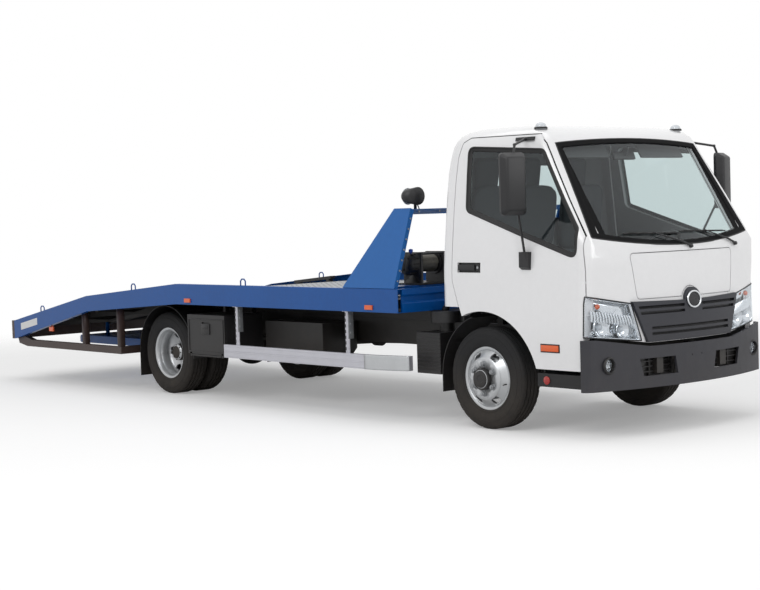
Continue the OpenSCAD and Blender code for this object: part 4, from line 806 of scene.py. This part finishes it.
border = Piece()
border.grid([screen_loop(0, 0, 0, -0.5), screen_loop(2, 2, 2, 1.3), screen_loop(18, 36, 14, 1.3),
             screen_loop(36, 68, 27, 1.3),
             screen_loop(37, 70, 28, 0.4), screen_loop(37, 70, 28, -9.4), screen_loop(44, 78, 36, -9.5)],
             close=True)
border.done("windscreen_border", "frit", "cab", slot="rubber", thickness=0.0006)
seal = Piece()
loop = screen_loop(-1, -1, -1, -3)
seal.tube(loop + [loop[0]], 0.0065, 8, caps=False)
seal.done("windscreen_seal", "rubber", "cab")

arms = Piece()
blades = Piece()
for pivot_y, mid_y in ((60, -300), (640, 290)):
    pivot = skin_front(pivot_y, 1330, 14)
    mid = skin_front(mid_y, 1436, 18)
    arms.cyl(skin_front(pivot_y, 1330, 0.5), skin_front(pivot_y, 1330, 22), 0.014, 20, 0.002)
    knee = pivot.lerp(mid, 0.3) + Vector((0.012, 0, 0.006))
    arms.tube([pivot, knee, pivot.lerp(mid, 0.7) + Vector((0.008, 0, 0)), mid],
              [0.0085, 0.0075, 0.0055, 0.0045], 10)
    ends = []
    for k in range(13):
        t = k / 12
        y = mid_y - 290 + 580 * t
        ends.append(skin_front(y, 1442 - 14 * t, 3))
    blades.tube(ends, 0.0045, 8)
    blades.tube([p + Vector((0.009, 0, 0.004)) for p in ends[1:-1]], 0.0032, 8)
    for k in (2, 6, 10):
        blades.tube([ends[k], ends[k] + Vector((0.010, 0, 0.004))], 0.004, 8)
arms.done("wiper_arms", "black_plastic", "cab", replaces=["wipers"])
blades.done("wiper_blades", "rubber", "cab")

inside = Piece()
inside.box(P(560, -120, 1985), P(585, 120, 2045), 0.008, Matrix.Rotation(math.radians(-20), 4, "Y"))
inside.tube([P(590, 0, 2015), P(615, 0, 2050), P(622, 0, 2085)], 0.008, 10)
inside.done("interior_mirror", "black_plastic", "cab")
visors = Piece()
for s in (-1, 1):
    visors.box(P(548, s * 430 - 250, 1990), P(566, s * 430 + 250, 2130), 0.008,
               Matrix.Rotation(math.radians(-32), 4, "Y"))
visors.done("sun_visors", "interior_plastic", "cab")

# ---- Doors: window rubber, handle, lock, reflector, lamp ----

WINDOW = [(-200, 2117), (575, 2066), (945, 1490), (950, 1275), (403, 1445), (-176, 1632)]


def rounded_loop(points, r, steps=6):
    out = []
    n = len(points)
    for i in range(n):
        p0, p, p1 = Vector(points[i - 1]), Vector(points[i]), Vector(points[(i + 1) % n])
        a, b = (p0 - p), (p1 - p)
        rr = min(r, a.length * 0.45, b.length * 0.45)
        ang = a.angle(b)
        cut = min(rr / math.tan(ang / 2), a.length * 0.45, b.length * 0.45)
        s, e = p + a.normalized() * cut, p + b.normalized() * cut
        for k in range(steps + 1):
            t = k / steps
            out.append(((1 - t) ** 2) * s + 2 * t * (1 - t) * p + t * t * e)
    dense = []
    for i in range(len(out)):
        a, b = out[i], out[(i + 1) % len(out)]
        m = max(1, int((b - a).length / 40))
        dense += [a.lerp(b, k / m) for k in range(m)]
    return dense


def offset_loop(points, d):
    """Moves a closed loop inwards by d; the loop turns clockwise in (x, z)."""
    out = []
    n = len(points)
    for i in range(n):
        t = (points[(i + 1) % n] - points[i - 1]).normalized()
        out.append(points[i] + Vector((t.y, -t.x)) * d)
    return out


window = rounded_loop([Vector(p) for p in WINDOW], 60)
for side, tag in SIDES:
    body = f"door_{tag}"
    rubber = Piece()
    rows = [[skin_side(p.x, p.y, side, out) for p in offset_loop(window, d)]
            for d, out in ((-4, 0.8), (-2, 2.5), (4, 2.5), (10, -6), (30, -11), (33, -13.5))]
    rubber.grid(rows, close=True)
    rubber.done(f"window_rubber_{tag}", "rubber", body, thickness=0.0015)
    cup = Piece()
    cup.box(P(-246, side * 955.5, 1176), P(-3, side * 957.5, 1249), 0.0008)
    cup.done(f"handle_cup_{tag}", "black_plastic", body)
    handle = Piece()
    handle.box(P(-238, side * 966, 1190), P(-60, side * 982, 1234), 0.006)
    handle.box(P(-50, side * 962, 1188), P(-12, side * 978, 1238), 0.005)
    handle.done(f"door_handle_{tag}", "black_plastic", body)
    lock = Piece()
    lock.cyl(P(-31, side * 976, 1213), P(-31, side * 980.5, 1213), 0.010, 20, 0.001)
    lock.done(f"door_lock_{tag}", "galvanised", body)
    marker = Piece()
    marker.box(P(600, side * 977, 618), P(770, side * 990, 664), 0.006)
    marker.done(f"door_marker_{tag}", "amber_lens", body)
    marker_base = Piece()
    marker_base.box(P(592, side * 975, 610), P(778, side * 983, 672), 0.004)
    marker_base.done(f"door_marker_base_{tag}", "rubber", body)
    reflector = Piece()
    reflector.lathe([(0.030, 0.0), (0.030, 0.006), (0.026, 0.009), (0.0, 0.010)], P(640, side * 971.5, 409),
                    "Y",
                    36, side=side)
    reflector.done(f"step_reflector_{tag}", "red_lens", "cab")

# ---- Seats ----


def cushion(name, low, high, crown, tilt, channels):
    """A padded block with a crowned face, pulled-in corners and sewn channels."""
    low, high = Vector(low), Vector(high)
    mid, half = (low + high) / 2, (high - low) / 2
    part = bmesh.new()
    bmesh.ops.create_cube(part, size=2)
    bmesh.ops.subdivide_edges(part, edges=part.edges[:], cuts=17, use_grid_fill=True)
    for v in part.verts:
        x, y, z = v.co
        # A superellipsoid's rounder edges pull the corners in
        k = (abs(x) ** 7 + abs(y) ** 9 + abs(z) ** 4) ** (1 / 6)
        s = 1 / max(k, 1) if k > 0 else 1
        px, py, pz = x * s, y * s, z * s
        swell = (1 - px * px) * (1 - py * py)
        groove = 0
        if channels:
            f = py * channels / 2 + 0.5 * (channels % 2)
            groove = -0.010 * math.exp(-((f - round(f)) / 0.05) ** 2) * (1 if abs(pz) > 0.4 else 0) * swell
        v.co = Vector((px * half.x, py * half.y,
                       pz * half.z + (1 if pz > 0 else 0) * (crown * swell + groove)))
    bmesh.ops.transform(part, matrix=Matrix.Rotation(tilt, 4, "Y"), verts=part.verts)
    bmesh.ops.translate(part, vec=mid, verts=part.verts)
    p = Piece()
    p.merge(part)
    o = p.done(name, "seat_fabric", "cab", angle=60)


RECLINE = math.radians(90 + 8)
for tag, y0, y1, channels, rests in (("driver", 255, 735, 3, (0.5,)),
                                     ("passenger", -755, 185, 5, (0.25, 0.75))):
    cushion(f"seat_cushion_{tag}", P(-285, y0, 1222), P(196, y1, 1312), 0.012, 0.0, channels)
    cushion(f"seat_back_{tag}", P(-575, y0 + 6, 1525), P(-58, y1 - 6, 1605), 0.014, RECLINE, channels)
    for k, share in enumerate(rests):
        y = y0 + (y1 - y0) * share
        cushion(f"headrest_{tag}_{k}", P(-505, y - 125, 1878), P(-255, y + 125, 1950), 0.01, RECLINE, 0)
pedestals = Piece()
for y0, y1 in ((360, 700), (-720, -360)):
    pedestals.box(P(-255, y0, 941), P(155, y1, 1222), 0.012)
pedestals.box(P(-238, -300, 1121), P(138, 180, 1222), 0.012)
pedestals.done("seat_pedestals", "interior_plastic", "cab", replaces=["seats"])

# ---- Winch drum with rope ----

WINCH = P(-1000, -620, 1228)
drum = Piece()
drum.lathe([(0.0183, -0.105), (0.090, -0.105), (0.092, -0.103), (0.092, -0.099), (0.090, -0.097),
            (0.045, -0.097),
            (0.045, 0.097), (0.090, 0.097), (0.092, 0.099), (0.092, 0.103), (0.090, 0.105), (0.0183, 0.105)],
            WINCH, "Y", 64,
           closed=True)
drum.done("winch_drum_body", "black_plastic", "winch_drum", replaces=["winch_drum"])
rope = Piece()
pts = []
STEPS = 15 * 28                      # turns in a layer, times the points in a turn
for layer in range(2):
    for k in range(STEPS + 1):
        t = k / STEPS
        y = (-0.0905 + 0.181 * t) * (1 if layer % 2 == 0 else -1)
        a = 2 * math.pi * k / 28
        r = 0.0545 + 0.0105 * layer
        pts.append(WINCH + Vector((r * math.cos(a), y, r * math.sin(a))))
rope.tube(pts, 0.0058, 8)
rope.done("winch_rope", "rope", "winch_drum", angle=50)

# ---- Work lamp face, lead and headboard bolts ----

lampface = Piece()
lampface.lathe([(0.064, 0.0), (0.066, 0.004), (0.060, 0.006), (0.050, 0.002), (0.0, 0.001)],
               P(-861, -900, 1764), "X", 40, side=-1)
lampface.done("work_lamp_glass", "lamp_clear", "chassis")
lead = Piece()
pts = []
for k in range(25):
    t = k / 24
    pts.append(P(-790 - 8 * math.sin(math.pi * t), -900 + 55 * t * t + 60 * math.sin(math.pi * t) * 0.5,
                 1735 - 95 * t))
lead.tube(pts, 0.0045, 8)
lead.done("work_lamp_lead", "black_plastic", "chassis")

bolts = Piece()
for s in (-1, 1):
    for k in range(7):
        z = 1110 + 80 * k
        y = s * (1170 - 200 * (z - 1050) / 622 - 22)      # 22 mm in from the wing's leaning edge
        bolts.hex(P(-761.5, y, z), P(-756, y, z), 0.008)
for k in range(9):
    y = -880 + 220 * k
    bolts.hex(P(-763, y, 1643), P(-757.5, y, 1643), 0.008)
bolts.done("headboard_bolts", "galvanised", "chassis")

# ---- Side guards: ribs, end caps, painted shade in the slotted posts' slots, and their brackets ----

for side, tag in SIDES:
    ribs = Piece()
    for z in (424, 461, 474, 511):
        ribs.box(P(-3058, side * 1149.5, z - 3), P(-1165, side * 1152.5, z + 3), 0.001)
    ribs.done(f"guard_ribs_{tag}", "aluminium", "chassis")
    cap = Piece()
    rows = []
    bend = 1200                      # radius of the rail's end, which the cap clears by 2 mm
    for k in range(17):
        a = math.asin((440 * k / 16) / bend)
        x, y = -1160 + (bend + 2.0) * math.sin(a), 1150 - bend + (bend + 2.0) * math.cos(a)
        rows.append([P(x, side * y, z) for z in (409, 418, 467, 516, 526)])
    cap.grid(rows)
    cap.done(f"guard_end_cap_{tag}", "wheel_silver", "chassis", thickness=0.003)
    posts, brackets = Piece(), Piece()
    # The slots are not cut: thin black patches on each post paint the shade seen through them
    for x0 in (-2919, -1423):
        for k in range(7):
            z = 560 + 46 * k
            posts.box(P(x0 + 17, side * 1135.2, z - 13), P(x0 + 33, side * 1136.4, z + 13))
        brackets.box(P(x0 + 56, side * 1080, 640), P(x0 + 62, side * 1134, 862), 0.001)
        for z in (690, 760, 830):
            brackets.hex(P(x0 + 62, side * 1112, z), P(x0 + 70, side * 1112, z), 0.009)
    posts.done(f"guard_post_painted_slot_shade_{tag}", "rubber", "chassis")
    brackets.done(f"guard_brackets_{tag}", "galvanised", "chassis")

# ---- Toolbox latch and ribs ----

latch = Piece()
for x, z, w, h, d in ((-3355, 648, 62, 96, 5), (-3355, 668, 40, 34, 9)):
    latch.box(P(x - w, -1134 - d, z - h / 2), P(x + w, -1127, z + h / 2), 0.004)
for z in (445, 735):
    latch.box(P(-3625, -1135.5, z - 4), P(-3085, -1127, z + 4), 0.002)
for x in (-3618, -3092):
    latch.box(P(x - 4, -1135.5, 445), P(x + 4, -1127, 735), 0.002)
latch.done("toolbox_latch", "black_plastic", "toolbox_lid")

# ---- Blank plate on the rail ----


def rail_line(x):
    """Height of the side rail's top edge."""
    return float(np.interp(x, [-6800, -5330, -3760, -720], [622, 909, 1050, 1050]))


plate = Piece()
x0, x1 = -6656, -6314
plate.prism([(AXLE_X + x / 1000, (rail_line(x) - dz) / 1000) for x,
             dz in ((x0, 122), (x1, 122), (x1, 52), (x0, 52))],
            -1.1718, -1.1700)
plate.done("rail_plate_blank", M["blank_plate"], "chassis")

# ---- Raised treads on the deck ----

treads = Piece()
verts, faces = [], []
row = 0
x = -1260
while x > -6740:
    near = rail_line(x) - 75
    slope = (rail_line(x + 5) - rail_line(x - 5)) / 10
    for k in range(-18, 19):
        y = k * 60 + (30 if row % 2 else 0)
        if abs(y) > 1100 or (1000 < y < 1100 and -4860 < x < -4160):
            continue
        a = math.radians(35 if (k + row) % 2 else -35)
        base = len(verts)
        for along, across, rise in ((17, 0, 0.2), (0, 4.5, 0.2), (-17, 0, 0.2), (0, -4.5, 0.2), (0, 0, 2.2)):
            dx = along * math.cos(a) - across * math.sin(a)
            dy = along * math.sin(a) + across * math.cos(a)
            verts.append(P(x + dx, y + dy, near + slope * dx + rise))
        faces += [(base, base + 1, base + 4), (base + 1, base + 2, base + 4), (base + 2, base + 3, base + 4),
                  (base + 3, base, base + 4), (base + 3, base + 2, base + 1, base)]
    x -= 42
    row += 1
treads._take(verts, faces)
treads.done("deck_treads", "galvanised", "chassis")

# ---- Behind the cab: intake grille, hose, winch lever and motor ribs ----

hose = Piece()
hose.tube([P(-690, -700, 862), P(-640, -690, 930), P(-560, -640, 960), P(-490, -560, 930),
           P(-470, -480, 840)], 0.028, 14)
hose.done("intake_hose", "black_plastic", "chassis")
slats = Piece()
for k in range(11):
    z = 400 + 28 * k
    slats.box(P(-796, -914, z), P(-534, -908, z + 12), 0.002)
slats.done("battery_box_ribs", "black_plastic", "chassis")
winch_parts = Piece()
winch_parts.tube([WINCH + Vector((0.03, -0.17, 0.06)), WINCH + Vector((0.04, -0.18, 0.08)),
                  WINCH + Vector((0.045, -0.185, 0.1))],
                 0.006, 10)
winch_parts.lathe([(0.016, -0.012), (0.018, 0.0), (0.016, 0.012), (0.0, 0.016)],
                  WINCH + Vector((0.045, -0.185, 0.105)), "Z", 20)
winch_parts.done("winch_lever", M["lever_blue"], "winch")
motor = Piece()
for k in range(12):
    a = 2 * math.pi * k / 12
    at = WINCH + Vector((0.086 * math.cos(a), 0, 0.086 * math.sin(a)))
    motor.box(at + Vector((-0.004, -0.196, -0.004)), at + Vector((0.004, -0.130, 0.004)), 0.001)
for k in range(6):
    a = 2 * math.pi * k / 6
    at = WINCH + Vector((0.056 * math.cos(a), -0.2, 0.056 * math.sin(a)))
    motor.hex(at, at + Vector((0, -0.006, 0)), 0.007)
motor.done("winch_motor_ribs", "cast_iron", "winch")

# ---- Camera, light, floor ----

cam_data = bpy.data.cameras.new("camera")
cam = add_object("camera", cam_data)
cam_data.sensor_width = 36
cam_data.lens = 76.63
cam_data.clip_end = 200
forward = Vector((-0.75304, 0.65592, -0.05191)).normalized()
right = forward.cross(Vector((0, 0, 1))).normalized()
up = right.cross(forward)
roll = math.radians(-1.75)
r2 = right * math.cos(roll) + up * math.sin(roll)
u2 = up * math.cos(roll) - right * math.sin(roll)
cam.matrix_world = Matrix((
    (r2.x, u2.x, -forward.x, 11.374), (r2.y, u2.y, -forward.y, -9.432), (r2.z, u2.z, -forward.z, 1.657),
    (0, 0, 0, 1)))
bpy.context.scene.camera = cam
bpy.context.scene.view_settings.view_transform = "Standard"

floor_mesh = bpy.data.meshes.new("floor")
s = 60.0
floor_mesh.from_pydata([(-s, -s, 0), (s, -s, 0), (s, s, 0), (-s, s, 0)], [], [(0, 1, 2, 3)])
add_object("floor", floor_mesh)
fm = bpy.data.materials.new("floor")
fm.use_nodes = True
t = fm.node_tree
t.nodes.clear()
diffuse = node(t, "BsdfDiffuse", Color=(0.8, 0.8, 0.8, 1))
path = node(t, "LightPath").outputs
seen = node(t, "Math", path["Is Camera Ray"], path["Is Transmission Ray"], operation="MAXIMUM")
level = node(t, "Math", seen.outputs[0], 0.26, operation="MULTIPLY")
glow = node(t, "Emission", Strength=level.outputs[0])
add = node(t, "AddShader", diffuse.outputs[0], glow.outputs[0])
where = node(t, "TexCoord").outputs["Object"]
length = node(t, "VectorMath", where, operation="LENGTH")
far = node(t, "MapRange", interpolation_type="SMOOTHSTEP", Value=length.outputs["Value"],
           From_Min=5.5, From_Max=11.0)
open_air = node(t, "BsdfTransparent")
fade = node(t, "MixShader", far.outputs["Result"], add.outputs[0], open_air.outputs[0])
node(t, "OutputMaterial", fade.outputs[0])
floor_mesh.materials.append(fm)

world = bpy.data.worlds.new("world")
bpy.context.scene.world = world
world.use_nodes = True
t = world.node_tree
bg = t.nodes["Background"]
bg.inputs["Color"].default_value = (1, 1, 1, 1)
path = node(t, "LightPath").outputs
seen = node(t, "Math", path["Is Camera Ray"], path["Is Transmission Ray"], operation="MAXIMUM")
shown = node(t, "Math", seen.outputs[0], path["Is Glossy Ray"], operation="MAXIMUM")
strength = node(t, "MapRange", Value=shown.outputs[0], To_Min=0.52, To_Max=1.0)
put(t, bg.inputs["Strength"], strength.outputs["Result"])


def area(name, at, look, size, power):
    d = bpy.data.lights.new(name, "AREA")
    d.shape = "RECTANGLE"
    d.size, d.size_y = size
    d.energy = power
    o = add_object(name, d)
    at, look = Vector(at), Vector(look)
    o.location = at
    o.rotation_mode = "QUATERNION"
    o.rotation_quaternion = (look - at).to_track_quat("-Z", "Y")


area("key", (5.0, -10.0, 9.0), (0.5, 0, 0.8), (7, 5), 430)
area("front", (12.0, 1.0, 5.0), (3.0, 0, 1.0), (5, 4), 190)
area("top", (0.0, 0.0, 10.0), (0, 0, 0), (10, 6), 200)
